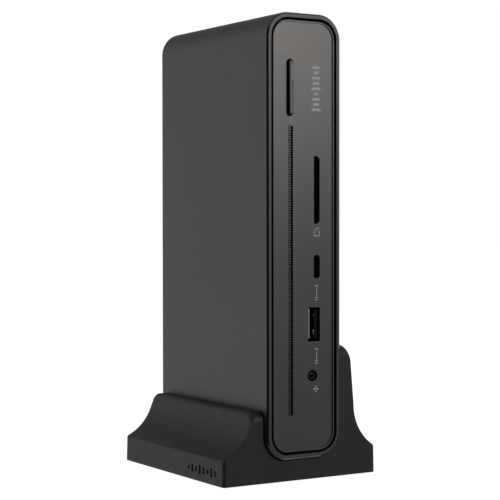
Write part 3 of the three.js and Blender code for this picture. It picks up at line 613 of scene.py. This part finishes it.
def spring_leaf(x, z, width, reach, y0, y1):
    """A sprung tongue pressed out of a shell's wall at x, bowed by reach into the mouth."""
    steps, thick = 10, 0.15
    rings = []
    for n in range(steps + 1):
        y = y0 + (y1 - y0) * n / steps
        out = reach * sin(pi * n / steps) ** 0.8
        half = width / 2 * (1 - 0.25 * abs(out / reach))
        corners = ((0, -half), (0, half), (-thick, half), (-thick, -half))
        rings.append([(x + out + dx, y, z + dz) for dx, dz in corners])
    return loft(rings)


def large_socket_parts(tongue_x):
    """A large socket. tongue_x is how far its tongue stands off its middle."""
    width, height, depth = 6.1, 13.7, 14.0
    shell = [shell_part(width, height, 0.6, 0.5, depth - 0.5, 0.12)]
    shell.append(soft_box(-2.7, 2.7, depth - 0.6, depth, -6.5, 6.5, 0.1))
    for z in (3.3, -3.3):
        shell.append(spring_leaf(-2.56, z, 1.9, 0.75, 0.9, 6.5))
    for end in (-1, 1):
        points, faces = spring_leaf(-6.36, 0, 1.6, 0.6, 1.2, 6.5)
        shell.append(([(pz, py, px * end) for px, py, pz in points], faces))
    tongue = [
        soft_box(tongue_x - 0.8, tongue_x + 0.8, 0.3, depth - 2, -5.55, 5.55, 0.12),
        soft_box(-2.4, 2.4, depth - 3.4, depth - 0.8, -6.1, 6.1, 0.1),
    ]
    contacts = contact_rows(4, 2.5, 1.0, tongue_x - 0.81, 3.2, 10, 0.05)
    return shell, tongue, contacts


def place_socket(prefix, groups, at, shell_node, tongue_node=None, steel=NICKEL, rear=True):
    """Adds a socket's shell, tongue and contacts at a point, in place of the CAD nodes of the first two."""
    skins = (
        ("shell", steel, "socket_steel", shell_node),
        ("tongue", INSULATOR, "socket_plastic", tongue_node),
        ("contacts", GOLD, "contacts", None),
    )
    for (kind, skin, slot_name, node), parts in zip(skins, groups):
        parts = rearward(parts, at) if rear else [moved(part, *at) for part in parts]
        dock_piece(f"{prefix}_{kind}", parts, skin, slot_name, *([node] if node else []))


# The front sockets' shells take the darkened steels, painted shade inside their mouths.
for prefix, spot, parts, steel in (
    ("small", SMALL_PORT, small_socket_parts(), SHADED_STEEL),
    ("large", LARGE_PORT, large_socket_parts(LARGE_TONGUE_X), DEEP_SHADE_STEEL),
):
    at = (spot.x, SOCKET_FRONT, spot.z)
    nodes = (f"front_{prefix}_socket", f"front_{prefix}_tongue")
    place_socket(f"{prefix}_port", parts, at, *nodes, steel=steel, rear=False)

# the flared lip along the left of the large port, and the two sprung bumps beside its tongue
left = LARGE_PORT.x - LARGE_PORT.width / 2 + 0.03
z0, z1, ease = 45.5, 56.7, 0.12
profile = [(0, 0.16), (0.06, 0.05), (0.3, 0.02), (0.7, 0.12), (0.92, 0.4), (0.9, 0.9), (0.55, 0.9)]
profile.append((0, 0.9))
rings = []
for z, shrink in ((z0, ease), (z0 + ease, 0), (z1 - ease, 0), (z1, ease)):
    rings.append([(left + dx, FACE + max(dy, shrink), z) for dx, dy in profile])
dock_piece("large_port_lip", [loft(rings)], NICKEL, "socket_steel")
face = LARGE_PORT.x + LARGE_TONGUE_X - 0.8
bump = [(0.02, face - 0.3), (0.3, face - 0.28), (0.5, face - 0.15), (0.55, face + 0.05)]
tab = soft_box(face - 0.3, face + 0.05, -39.05, -37.7, 47.0, 48.7, 0.1)
parts = [moved(lathe(bump, "x", 20), 0, -38.45, 54.1), tab]
dock_piece("large_port_springs", parts, ZINC, "socket_steel")

low, high = dock_box("card_reader_cage")
x, z = (low.x + high.x) / 2, (low.z + high.z) / 2
inset, back_front = 0.02, high.y - 1.4
outer = rounded_rect(x, z, high.x - low.x, high.z - low.z, 0.3, 3)
mouth = cut_rect(x + 0.075, z, 2.55, 25.4, (0.9, 0.9, 0.05, 0.05))
cage = plate(
    (outer, [(-0.1, low.y), (0, low.y + 0.1), (0, back_front)]),
    (mouth, [(0.1, low.y), (0, low.y + 0.15), (0, back_front)]),
)
back = soft_box(low.x + inset, high.x - inset, back_front, high.y, low.z + inset, high.z - inset, 0.05)
# Painted shade: the card cage is drawn in the darkest steel.
dock_piece("card_cage", [cage, back], DEEP_SHADE_STEEL, "socket_steel", "card_reader_cage")
liner = plate(
    (mouth, [(-0.02, low.y + 0.1), (-0.02, high.y - 2)]),
    (mouth, [(-0.12, low.y + 0.1), (-0.22, low.y + 0.5), (-0.22, high.y - 2)]),
)
dock_piece("card_liner", [liner], BLACK_ABS, "socket_plastic")
bar_back = dock_box("card_reader_contacts")[1].y
parts = [soft_box(x - 0.8, x + 0.9, bar_back - 2.4, bar_back, z - 11.5, z + 11.5, 0.1)]
parts += [moved(part, x, low.y, z) for part in contact_rows(9, 2.5, 1.0, 0.4, 17, 24.5, 0.15)]
dock_piece("card_contacts", parts, GOLD, "contacts", "card_reader_contacts")


def ring_plate(x, z, outside, inside, y0, y1, soft=0.1, steps=36):
    """A flat ring about an axis along Y, with softened edges on its front."""
    outer = circle(x, z, outside, steps), [*eased(y0, -soft), (0, y1)]
    return plate(outer, (circle(x, z, inside, steps), [*eased(y0, soft), (0, y1)]))


low, high = dock_box("audio_jack")
x, z = AUDIO.x, AUDIO.z
outer = rounded_rect((low.x + high.x) / 2, z, high.x - low.x, high.z - low.z, 0.3, 8)
block = plate(
    (outer, [(-0.15, low.y + 0.35), (0, low.y + 0.5), (0, high.y - 1)]),
    (circle(x, z, 1.8, 36), [(0, low.y + 0.35), (0, high.y - 1)]),
)
collar = ring_plate(x, z, 2.1, 1.75, low.y + 0.02, low.y + 0.45)
back = soft_box(low.x, high.x, high.y - 1, high.y, low.z, high.z, 0.1)
dock_piece("headset_jack", [block, collar, back], BLACK_ABS, "front_carrier", "audio_jack")
sleeve = ring_plate(x, z, 1.3, 0.7, FACE + 0.45, low.y + 4, 0.12)
# Painted shade: the jack's inner sleeve is drawn in the darkest steel.
dock_piece("headset_jack_sleeve", [sleeve], DEEP_SHADE_STEEL, "socket_steel")


# --- printed signs on the front panel

INK_PROUD, INK_DEEP = 0.015, 0.05
SIGN_STROKE = 0.34
HEADSET_SIGN_Z = 26.1
BARS_X, BARS_Z, BARS_PITCH = 5.8, 132.3, 2.0
BAR_LENGTHS = (3.6, 2.2, 3.0, 1.4, 3.6, 2.4, 3.2, 1.6, 2.8)


def ink_bar(x0, z0, x1, z1, thick=0.3):
    """A printed stroke from one point of the front panel to another."""
    along = Vector((x1 - x0, z1 - z0)).normalized() * thick / 2
    side = Vector((-along.y, along.x))
    ends = ((x0, z0, -1, 1), (x1, z1, 1, 1), (x1, z1, 1, -1), (x0, z0, -1, -1))
    ring = [(x + a * along.x * 0.5 + b * side.x, z + a * along.y * 0.5 + b * side.y) for x, z, a, b in ends]
    return loft([[(x, y, z) for x, z in ring] for y in (FACE - INK_PROUD, FACE + INK_DEEP)])


def ink_spot(x, z, radius):
    return loft(rings_of(circle(x, z, radius, 16), [(0, FACE - INK_PROUD), (0, FACE + INK_DEEP)]))


def ink_path(points, thick=0.3):
    return [ink_bar(*a, *b, thick) for a, b in zip(points, points[1:])]


def port_sign(x, z):
    """A bolt, a line and two bars, one above the other; z is the middle of the bolt."""
    bolt = [(x - 0.75, z + 0.45), (x - 0.15, z - 0.4), (x + 0.1, z + 0.4), (x + 0.7, z - 0.45)]
    parts = ink_path(bolt, SIGN_STROKE) + [ink_bar(x + 0.1, z - 1.0, x + 0.1, z - 3.9, SIGN_STROKE)]
    return parts + [ink_bar(x - 0.6, z - level, x + 0.6, z - level, SIGN_STROKE) for level in (4.4, 5.3)]


edge = [(7.35, 87.3), (5.9, 87.3), (4.85, 86.2), (4.85, 84.45), (7.35, 84.45), (7.35, 86.2)]
card = ink_path(edge) + [ink_spot(6.5, 86.4, 0.22)]
ports = port_sign(6.0, 65.35) + port_sign(6.0, 41.25)
z = HEADSET_SIGN_Z
headset = [ink_bar(4.6, z, 6.9, z, 0.45)]
headset += [ink_bar(5.3, z + drop, 6.1, z + drop, 0.36) for drop in (-0.85, 0.85)]
dock_piece("printed_signs", card + ports + headset, INK, "front_panel")
rows = [(BARS_X, BARS_Z + BARS_PITCH * n, length / 2) for n, length in enumerate(BAR_LENGTHS)]
bars = [ink_bar(x - half, z, x + half, z, 0.95) for x, z, half in rows]
dock_piece("panel_bars", bars, INK, "front_panel")

# --- rear panel and its sockets

INLET = Spot(x=3.14, z=143)
HOST = Spot(x=6.22, z=128.6, width=4.0, height=10.0)
NETWORK = Spot(x=0.89, z=112, width=13.9, height=16.0, depth=21.0)
VIDEO_X = 4.89
WIDE_VIDEO_Z = 92.5
TALL_VIDEO_ZS = {"upper": 73.2, "lower": 54}
REAR_LARGE_ZS = {"upper": 35.2, "lower": 18.3}
REAR_SCREW_ZS = {"upper": 158.8, "lower": 7.6}
REAR_SCREW_X = 6.0
LOCK = Spot(x=-6.5, z=152, width=3.0, height=7.0)
AIR_SLOTS = Spot(count=25, x=-9.9, z=24, pitch=4.5)


def build_rear_panel():
    outline = rounded_rect(0, MID_Z, 29.0, HEIGHT - 2 * WALL - 0.6, CORNER - WALL - 0.3, 14)
    outer = outline, [*eased(REAR_FACE, -0.35, -1), (0, REAR_INNER)]

    def hole(shape, bevel=0.2):
        return shape, [*eased(REAR_FACE, bevel, -1), (0, REAR_INNER)]

    lock = opening(LOCK, 0.5, 3)
    holes = [
        hole(lock),
        hole(circle(INLET.x, INLET.z, 4.7, 40)),
        hole(opening(HOST, 1.9, 8)),
        hole(rounded_rect(NETWORK.x, NETWORK.z, NETWORK.width + 0.7, NETWORK.height + 0.7, 0.3, 3)),
        hole(cut_rect(VIDEO_X, WIDE_VIDEO_Z, 6.7, 15.7, (0.1, 0.1, 1.4, 1.4))),
    ]
    holes += [hole(cut_rect(VIDEO_X, z, 6.7, 17.0, (0.1, 0.1, 1.6, 0.1))) for z in TALL_VIDEO_ZS.values()]
    holes += [hole(rounded_rect(LARGE_PORT.x, z, 6.8, 14.4, 0.6, 3)) for z in REAR_LARGE_ZS.values()]
    holes += [hole(circle(REAR_SCREW_X, z, 1.6, 20), 0.1) for z in REAR_SCREW_ZS.values()]
    for n in range(AIR_SLOTS.count):
        # Each slot steps a hair aside: corners exactly in line upset the filling of the plate's faces.
        x, z = AIR_SLOTS.x + 0.002 * (n % 5), AIR_SLOTS.z + AIR_SLOTS.pitch * n
        holes.append(hole(rounded_rect(x, z, 3.2, 1.8, 0.8, 3), 0.15))
    dock_piece("rear_plate", [plate(outer, *holes)], REAR_ABS, "rear_panel", "rear_panel")
    front, back = REAR_FACE - 0.25, REAR_INNER - 0.6
    walls = [(lock, [(-grow, front), (-grow, back)]) for grow in (0.04, 0.3)]
    dock_piece("lock_slot_insert", [plate(*walls)], ZINC, "tray_steel")


def build_power_inlet():
    at = (INLET.x, REAR_SOCKETS, INLET.z)
    bore, block_front, bore_end, depth = 3.1, 2.4, 11.0, 14.0
    steps = [(-0.3, block_front), (0, block_front + 0.3), (0, bore_end)]
    hole = circle(0, 0, bore, 40), [(0, block_front), (0, bore_end)]
    block = plate((rounded_rect(0, 0, 9.4, 11, 0.5, 4), steps), hole)
    collar = ring_plate(0, 0, 4.3, bore, 0, block_front + 0.1, 0.25, 40)
    back = soft_box(-4.7, 4.7, bore_end, depth, -5.5, 5.5, 0.3)
    parts = rearward([block, collar, back], at)
    dock_piece("inlet_block", parts, BLACK_ABS, "socket_plastic", "power_inlet")
    pin = lathe([(0.05, 1.0), (0.5, 1.03), (0.85, 1.25), (1.0, 1.7), (1.0, bore_end + 0.2)], "y", 24)
    leaf = spring_leaf(-3.05, 0, 1.6, 0.7, 2.0, 8.5)
    dock_piece("inlet_pin", rearward([pin, leaf], at), NICKEL, "contacts")


def video_parts(height, cuts, tongue_height, pitch):
    """A video socket with its mouth at y = 0: shell, tongue and two rows of ten contacts."""
    depth, wall, soft, half_w, half_h = 12.0, 0.4, 0.08, 3.0, height / 2
    mouth = [(-wall + 0.1, soft), (-wall + 0.1 + soft, 0), (-soft, 0), (0, soft)]
    walls = [(0, depth - 0.5), (-wall, depth - 0.5), (-wall, 0.9)]
    shell = [loft(rings_of(cut_rect(0, 0, 2 * half_w, height, cuts), mouth + walls), wrap=True)]
    shell.append(soft_box(1.2 - half_w, half_w - 1.2, depth - 0.5, depth, 1.2 - half_h, half_h - 1.2, 0.1))
    for z in (-half_h / 2, half_h / 2):
        shell.append(spring_leaf(wall - 0.05 - half_w, z, 1.6, 0.5, 1.2, 5.5))
    tongue = [
        soft_box(-0.65, 0.65, 1.2, depth - 1.5, -tongue_height / 2, tongue_height / 2, 0.12, 0.3),
        soft_box(0.8 - half_w, half_w - 0.8, depth - 3.2, depth - 0.6, 1.6 - half_h, half_h - 1.6, 0.1),
    ]
    contacts = contact_rows(10, pitch, pitch * 0.5, -0.66, 1.7, 8, 0.04)
    return shell, tongue, contacts + contact_rows(10, pitch, pitch * 0.5, 0.66, 1.7, 8, 0.04)


def build_network_socket():
    width, height, depth = NETWORK.width, NETWORK.height, NETWORK.depth
    at = (NETWORK.x, REAR_SOCKETS, NETWORK.z)

    def mouth(grow=0.0):
        """A tall opening with a notch for the plug's latch on its left."""
        x0, x1, z1 = -4.0 - grow, 3.6 + grow, 5.9 + grow
        latch_x, latch_z = -5.6 - grow, 2.0 + grow
        upper = [(x1, z1), (x0, z1), (x0, latch_z), (latch_x, latch_z)]
        return [(x1, -z1), *upper, *((x, -z) for x, z in reversed(upper[1:]))]

    end = depth - 1.2
    steps = [(-0.15, 0), (-0.04, 0.04), (0, 0.15), (0, end)]
    hole = mouth, [(0.4, 0), (0.25, 0.05), (0.2, 0.25), (0.2, end)]
    can = plate((rounded_rect(0, 0, width, height, 0.4, 4), steps), hole)
    back = soft_box(-width / 2, width / 2, end, depth, -height / 2, height / 2, 0.15)
    dock_piece("network_can", rearward([can, back], at), NICKEL, "socket_steel", "network_socket")
    liner = plate((mouth, [(0.18, 0.35), (0.18, 15)]), (mouth, [(-0.1, 0.35), (-0.2, 0.6), (-0.2, 15)]))
    back = soft_box(-5.5, 3.5, 14.2, 15, -5.8, 5.8, 0.1)
    bar = soft_box(2.2, 3.4, 12.4, 14.4, -4.4, 4.4, 0.1)
    dock_piece("network_liner", rearward([liner, back, bar], at), INSULATOR, "socket_plastic")
    bend = ((3.0, 12.6), (2.4, 9.0), (1.3, 4.6), (1.5, 4.0), (2.9, 4.9))
    wires = []
    for n in range(8):
        z = (n - 3.5) * 1.02
        wires.append(loft([[(px, y, pz) for px, pz in arc(x, z, 0.19, 0, 315, 7)] for x, y in bend]))
    dock_piece("network_wires", rearward(wires, at), GOLD, "contacts", "network_contacts")
    lamps = [soft_box(4.4, 6.0, -0.02, 0.6, z - 1.1, z + 1.1, 0.05, 0.3) for z in (-6.0, 6.0)]
    dock_piece("network_lamps", rearward(lamps, at), LIGHT_WINDOW, "light_window")


def build_screw(name, axis, head_at, body, origin, head, shank, length):
    """A pan-head screw in place of CAD node name. Its head faces +Y, or down if axis is "z"."""
    low, high = box_mm(name)
    tall = 0.75
    profile = [(0.05, 0), (head * 0.55, 0.03), (head * 0.85, 0.16), (head, 0.45)]
    profile += [(head, tall), (shank, tall)]
    depth = tall
    while depth < length - 1.2:
        profile += [(shank, depth + 0.1), (shank * 0.8, depth + 0.3), (shank, depth + 0.5)]
        depth += 0.5
    profile += [(shank * 0.7, length - 0.4), (0.05, length)]
    arm, wide, deep = head * 0.55, head * 0.1, 0.55

    def stand_up(part):
        x, y, z = head_at
        points, faces = part
        if axis == "y":
            return [(px + x, high.y - origin.y - pz, py + z) for px, py, pz in points], faces
        return [(px + x, py + y, pz + low.z - origin.z) for px, py, pz in points], faces

    parts = [stand_up(lathe(profile, "z", 24))]
    piece = add_piece(name.replace("screw", "pan_screw"), parts, ZINC, body, origin, [name])
    mouth_z = -0.5
    for a, b, low_a, low_b in ((arm, wide, arm * 0.7, wide), (wide, arm, wide, arm * 0.7)):
        levels = ((mouth_z, a, b), (deep, low_a, low_b))
        slot = loft([[(sx * u, sy * v, z) for sx, sy in AROUND] for z, u, v in levels])
        carve(piece, [stand_up(slot)], origin)


build_rear_panel()
build_power_inlet()
at = (HOST.x, REAR_SOCKETS, HOST.z)
place_socket("host_port", small_socket_parts(), at, "host_socket", "host_tongue")
build_network_socket()
parts = video_parts(15.0, (1.4, 1.4, 0.1, 0.1), 10.6, 1.0)
place_socket("wide_video", parts, (VIDEO_X, REAR_SOCKETS, WIDE_VIDEO_Z), "wide_video_socket")
for name, z in TALL_VIDEO_ZS.items():
    parts = video_parts(16.3, (0.1, 1.6, 0.1, 0.1), 11.6, 1.1)
    place_socket(f"tall_video_{name}", parts, (VIDEO_X, REAR_SOCKETS, z), f"tall_video_socket_{name}")
for name, z in REAR_LARGE_ZS.items():
    at = (LARGE_PORT.x, REAR_SOCKETS, z)
    place_socket(f"rear_large_{name}", large_socket_parts(-1.1), at, f"rear_large_socket_{name}")
for name, z in REAR_SCREW_ZS.items():
    build_screw(f"rear_screw_{name}", "y", (REAR_SCREW_X, REAR, z), "dock_unit", DOCK, 2.3, 1.3, 7.2)

# --- stand

HALF_WIDTH = STAND_HIGH.x
STAND_FRONT = STAND_LOW.y - STAND.y
STAND_REAR = STAND_HIGH.y - STAND.y
DRAFT = 0.2
CRADLE_GAP = 0.4
CRADLE_X = WIDTH / 2 + CRADLE_GAP
CRADLE_RADIUS = CORNER + CRADLE_GAP
CRADLE_FLOOR = SLEEVE_LOW.z - STAND_LOW.z - CRADLE_GAP
LOW_WING = Spot(side=-1, top=27.1, top_x=22.3, crown=2.2, arc_x=41.5, arc_z=28.4, radius=19.8)
HIGH_WING = Spot(side=1, top=50.7, top_x=23.05, crown=4.4, arc_x=43.75, arc_z=27.4, radius=19.3)
SIDE_ROUND = 1.5
TOP_ROUND = 4.0
CREASE = 0.35
SCREW_X, SCREW_Y = 26.5, 30.0
STAND_SCREWS = [(sx * SCREW_X, sy * SCREW_Y) for sx in (-1, 1) for sy in (-1, 1)]
FOOT_X, FOOT_Y = 0.62 * SCREW_X, 0.9 * SCREW_Y
PLATE_LOW, PLATE_HIGH = 1.0, 2.5
BAR_HEIGHTS = (2.1, 3.3, 1.5, 2.7, 3.4, 1.8, 2.9, 1.4)


def rounding(radius, depth):
    """How far an edge of that radius has drawn in, at a depth behind the end face."""
    left = max(0.0, radius - depth)
    return radius - sqrt(radius * radius - left * left)


def wing_section(wing, depth):
    """One wing's half of the stand's section, from foot to mid-cradle, at a depth from the end."""
    lip = rounding(CREASE, depth)
    side_in = rounding(SIDE_ROUND, depth)
    top = wing.top - rounding(TOP_ROUND, depth)
    side_x = HALF_WIDTH - DRAFT - side_in
    radius = wing.radius + lip
    start = asin((wing.arc_x - side_x) / radius)
    edge_z = wing.arc_z - radius * cos(start)
    soft = 0.6
    foot_x = HALF_WIDTH - side_in
    points = [(foot_x - 0.35, lip), (foot_x - 0.08, 0.08 + lip), (foot_x, 0.35 + lip)]
    after = (side_x - soft * cos(start), edge_z + soft * sin(start))
    bend = ((side_x, edge_z - soft), (side_x, edge_z), after)
    for t in (0, 0.25, 0.5, 0.75, 1):
        points.append(tuple((1 - t) ** 2 * a + 2 * t * (1 - t) * b + t * t * c for a, b, c in zip(*bend)))
    crown_z = min(wing.top - wing.crown, wing.arc_z)
    finish = acos((wing.arc_z - min(crown_z, top - 2)) / radius)
    for n in range(1, 17):
        a = start + soft / radius + (finish - start - soft / radius) * n / 16
        points.append((wing.arc_x - radius * sin(a), wing.arc_z - radius * cos(a)))
    foot_x, foot_z = points[-1]
    top_x = wing.top_x - lip
    crown = min(wing.crown, top_x - CRADLE_X - 0.3, top - foot_z)
    points += [(foot_x + (top_x - foot_x) * t, foot_z + (top - crown - foot_z) * t) for t in (0.33, 0.66)]
    points += arc(top_x - crown, top - crown, crown, 0, 90, 8)
    wall_x, lip_round = CRADLE_X + lip, 0.45
    points += arc(wall_x + lip_round, top - lip_round, lip_round, 90, 180, 3)
    radius = CRADLE_RADIUS + lip
    points += arc(wall_x - radius, CRADLE_FLOOR - lip + radius, radius, 0, -90, 14)
    return [(wing.side * x, z) for x, z in points]


def build_stand_shell():
    depths = [TOP_ROUND * (1 - cos(radians(90 * n / 14))) for n in range(15)]
    straight = STAND_REAR - STAND_FRONT - 2 * TOP_ROUND
    places = [(STAND_FRONT + d, d) for d in depths]
    places += [(STAND_FRONT + TOP_ROUND + straight * n / 6, TOP_ROUND) for n in range(1, 6)]
    places += [(STAND_REAR - d, d) for d in reversed(depths)]
    sections = [(y, wing_section(LOW_WING, d) + wing_section(HIGH_WING, d)[::-1]) for y, d in places]
    rings = [[(x, y, z) for x, z in section] for y, section in sections]
    stand = stand_piece("stand", [loft(rings)], STAND_ABS, "stand", "stand_shell", sharp=40)
    wall = 2.0
    half_x, half_y = HALF_WIDTH - wall, (STAND_REAR - STAND_FRONT) / 2 - wall
    pocket = rings_of(rounded_rect(0, 0, 2 * half_x, 2 * half_y, 1.4, 4), [(0, -1), (0, PLATE_HIGH + 0.3)])
    carve(stand, [laid(loft(pocket))], STAND)
    carve(stand, [moved(lathe([(1.5, 1), (1.5, 9)], "z", 20), x, y) for x, y in STAND_SCREWS], STAND)
    bars = []
    for n, height in enumerate(BAR_HEIGHTS):
        y, z, half_w, half_h = -33.4 + 2.85 * n, 4.5, 0.75, height / 2
        edge = [(y + sy * half_w, z + sz * half_h) for sy, sz in AROUND]
        bars.append(loft([[(x, *p) for p in edge] for x in (-HALF_WIDTH - 1, DRAFT + 0.3 - HALF_WIDTH)]))
    carve(stand, bars, STAND)
    # Painted shade: the left and right sides of the base, up to 9.4 mm, get the darker copy of the stand's
    # plastic.
    side_shade_top, flank_x = STAND_LOW.z + 9.4, HALF_WIDTH - 2
    second_skin(stand, STAND_SIDE_SHADE, lambda c, n: c.z < side_shade_top and abs(c.x) > flank_x and abs(n.x) > 0.2)


def build_base_plate():
    low, high = stand_box("stand_base_plate")
    width, depth = high.x - low.x, high.y - low.y
    edge = [(-0.25, PLATE_LOW), (-0.07, PLATE_LOW + 0.07), (0, PLATE_LOW + 0.25), (0, PLATE_HIGH)]
    outer = rounded_rect(0, 0, width, depth, 1.2, 4), edge
    hole_edge = [(0.4, PLATE_LOW), (0, PLATE_LOW + 0.4), (0, PLATE_HIGH)]
    holes = [(circle(x, y, 1.5, 24), hole_edge) for x, y in STAND_SCREWS]
    rib_low, rib_high = PLATE_LOW - 0.3, PLATE_LOW + 0.5
    ribs = [soft_box(-24, 24, rib_low, rib_high, y - 0.9, y + 0.9, 0.25) for y in (-16, -8, 0, 8, 16)]
    parts = [laid(part) for part in [plate(outer, *holes), *ribs]]
    stand_piece("base_plate", parts, BASE_PAINT, "base_steel", "stand_base_plate")


def build_foot(name, x, y):
    low, high = stand_box(name)
    bottom, top = low.z, high.z
    profile = [(0.05, 0.12), (3.4, 0.12), (3.6, 0), (4.6, 0), (4.9, 0.12), (5.0, 0.35)]
    profile = [(radius, bottom + z) for radius, z in profile] + [(5.0, top - 0.05), (4.95, top)]
    stand_piece(name.replace("stand_", ""), [moved(lathe(profile, "z", 48), x, y)], RUBBER, "rubber", name)


def build_pad(name):
    low, high = stand_box(name)
    pad = soft_box(low.x, high.x, low.y, high.y, low.z, high.z, 0.35)
    stand_piece(name.replace("cradle_", ""), [pad], RUBBER, "rubber", name)


build_stand_shell()
build_base_plate()
for side, sx in (("left", -1), ("right", 1)):
    for end, sy in (("front", -1), ("rear", 1)):
        build_foot(f"stand_foot_{side}_{end}", sx * FOOT_X, sy * FOOT_Y)
        at = (sx * SCREW_X, sy * SCREW_Y, 0)
        build_screw(f"stand_screw_{side}_{end}", "z", at, "stand", STAND, 2.4, 1.15, 8.0)
for name in ("left", "right", "front", "rear"):
    build_pad(f"cradle_pad_{name}")

# --- inside pieces that keep their CAD shape

INSIDE = {
    BOARD: ("main_board", "switch_board"),
    RIBBON: ("switch_ribbon",),
    BLACK_ABS: ("switch_plunger",),
    CHIP: ("push_switch", "hub_chip", "video_chip"),
    THERMAL: ("hub_thermal_pad", "video_thermal_pad"),
    ALUMINIUM: ("heat_sink",),
    CAPACITOR: ("capacitor_front", "capacitor_rear"),
}


# The tray and the screws are zinc plated. What else gets zinc here is replaced and doesn't show.
inside_skins = {name: skin for skin, names in INSIDE.items() for name in names}
for name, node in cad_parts.items():
    node.data.materials.clear()
    node.data.materials.append(inside_skins.get(name, ZINC))

# --- floor, light and camera

PAPER_GLOW = 0.93
AMBIENT = 0.25
LOBES = (
    # direction that light comes from, cosine where it starts and where it is full, strength
    ((-0.656, 0.656, -0.375), 0.3, 0.98, 0.49),
    ((0.78, 0.52, -0.35), 0.4, 0.98, 0.7),
)
FLAG = ((-0.843, -0.537, 0.0), 0.6, 0.93)  # direction kept dark, cosines where that starts and is full
FLAG_REST = 0.1  # what is left of the light there
SOFTBOXES = (
    # name, place and aim in metres, size in metres, power in watts
    ("far_softbox", (0.31, -0.75, 0.3), (0, -0.04, 0.12), 0.3, 0.39),
    ("near_softbox", (0.228, -0.45, 0.28), (0, -0.04, 0.15), 0.2, 0.19),
)
CAMERA_LENS = 108.085
CAMERA_PLACE = Vector((-316.5, SLEEVE_LOW.y - 471.55, SLEEVE_LOW.z + 89.98))
CAMERA_TURN, CAMERA_TILT, CAMERA_ROLL = (radians(angle) for angle in (31.788, -1.095, -0.056))


def build_floor():
    """A plain pale sheet that glows a little, so that it stays pale under the part."""
    mesh = bpy.data.meshes.new("floor")
    reach = 4.0
    corners = [(-reach, -reach, 0), (reach, -reach, 0), (reach, reach, 0), (-reach, reach, 0)]
    mesh.from_pydata(corners, [], [(0, 1, 2, 3)])
    paper = bpy.data.materials.new("floor_paper")
    paper.use_nodes = True
    shader = paper.node_tree.nodes["Principled BSDF"]
    set_inputs(shader, {"Base Color": (0.9, 0.9, 0.9, 1), "Roughness": 0.9, "Specular IOR Level": 0})
    set_inputs(shader, {"Emission Color": (1, 1, 1, 1), "Emission Strength": PAPER_GLOW})
    mesh.materials.append(paper)
    floor = add_object("floor", mesh)
    floor.visible_glossy = False
    floor.visible_diffuse = False


def build_world():
    """Wide soft lobes of light round the part, and a white backdrop that only the camera sees."""
    scene.world = bpy.data.worlds.new("studio")
    scene.world.use_nodes = True
    scene.world.node_tree.nodes.clear()
    add, join = node_tools(scene.world.node_tree)
    where = add("ShaderNodeTexCoord")

    def patch(direction, start, full, outside, inside):
        """A soft-edged round patch of the surroundings, with one value outside it and another inside."""
        dot = add("ShaderNodeVectorMath", {1: Vector(direction).normalized()}, operation="DOT_PRODUCT")
        join(where, "Generated", dot, 0)
        spread = add("ShaderNodeMapRange", interpolation_type="SMOOTHSTEP")
        set_range(spread, start, full, outside, inside)
        join(dot, "Value", spread, "Value")
        return spread

    total = None
    for direction, start, full, strength in LOBES:
        lobe = patch(direction, start, full, 0, strength)
        both = add("ShaderNodeMath", {0: AMBIENT}, operation="ADD")
        if total:
            join(total, "Value", both, 0)
        join(lobe, "Result", both, 1)
        total = both
    shade = add("ShaderNodeMath", operation="MULTIPLY")
    join(total, "Value", shade, 0)
    join(patch(*FLAG, 1, FLAG_REST), "Result", shade, 1)
    light = add("ShaderNodeBackground")
    join(shade, "Value", light, "Strength")
    backdrop = add("ShaderNodeBackground", {"Color": (1, 1, 1, 1)})
    path = add("ShaderNodeLightPath")
    choose = add("ShaderNodeMixShader")
    join(path, "Is Camera Ray", choose, "Fac")
    join(light, "Background", choose, 1)
    join(backdrop, "Background", choose, 2)
    join(choose, "Shader", add("ShaderNodeOutputWorld"), "Surface")


def add_softbox(name, place, aim, size, power):
    """A square soft light that the camera doesn't see."""
    lamp = bpy.data.lights.new(name, "AREA")
    lamp.shape = "SQUARE"
    lamp.size = size
    lamp.energy = power
    holder = add_object(name, lamp)
    holder.location = place
    holder.rotation_mode = "QUATERNION"
    holder.rotation_quaternion = (Vector(aim) - Vector(place)).to_track_quat("-Z", "Y")
    holder.visible_camera = False


def build_camera():
    camera = bpy.data.cameras.new("camera")
    camera.sensor_width = 36
    camera.lens = CAMERA_LENS
    camera.clip_start, camera.clip_end = 0.01, 20
    holder = add_object("camera", camera)
    level = cos(CAMERA_TILT)
    forward = Vector((sin(CAMERA_TURN) * level, cos(CAMERA_TURN) * level, sin(CAMERA_TILT)))
    facing = forward.to_track_quat("-Z", "Y").to_matrix().to_4x4()
    roll = Matrix.Rotation(CAMERA_ROLL, 4, "Z")
    holder.matrix_world = Matrix.Translation(CAMERA_PLACE * MM) @ facing @ roll
    scene.camera = holder


build_floor()
build_world()
for softbox in SOFTBOXES:
    add_softbox(*softbox)
build_camera()
scene.view_settings.view_transform = "Standard"
scene.view_settings.look = "None"
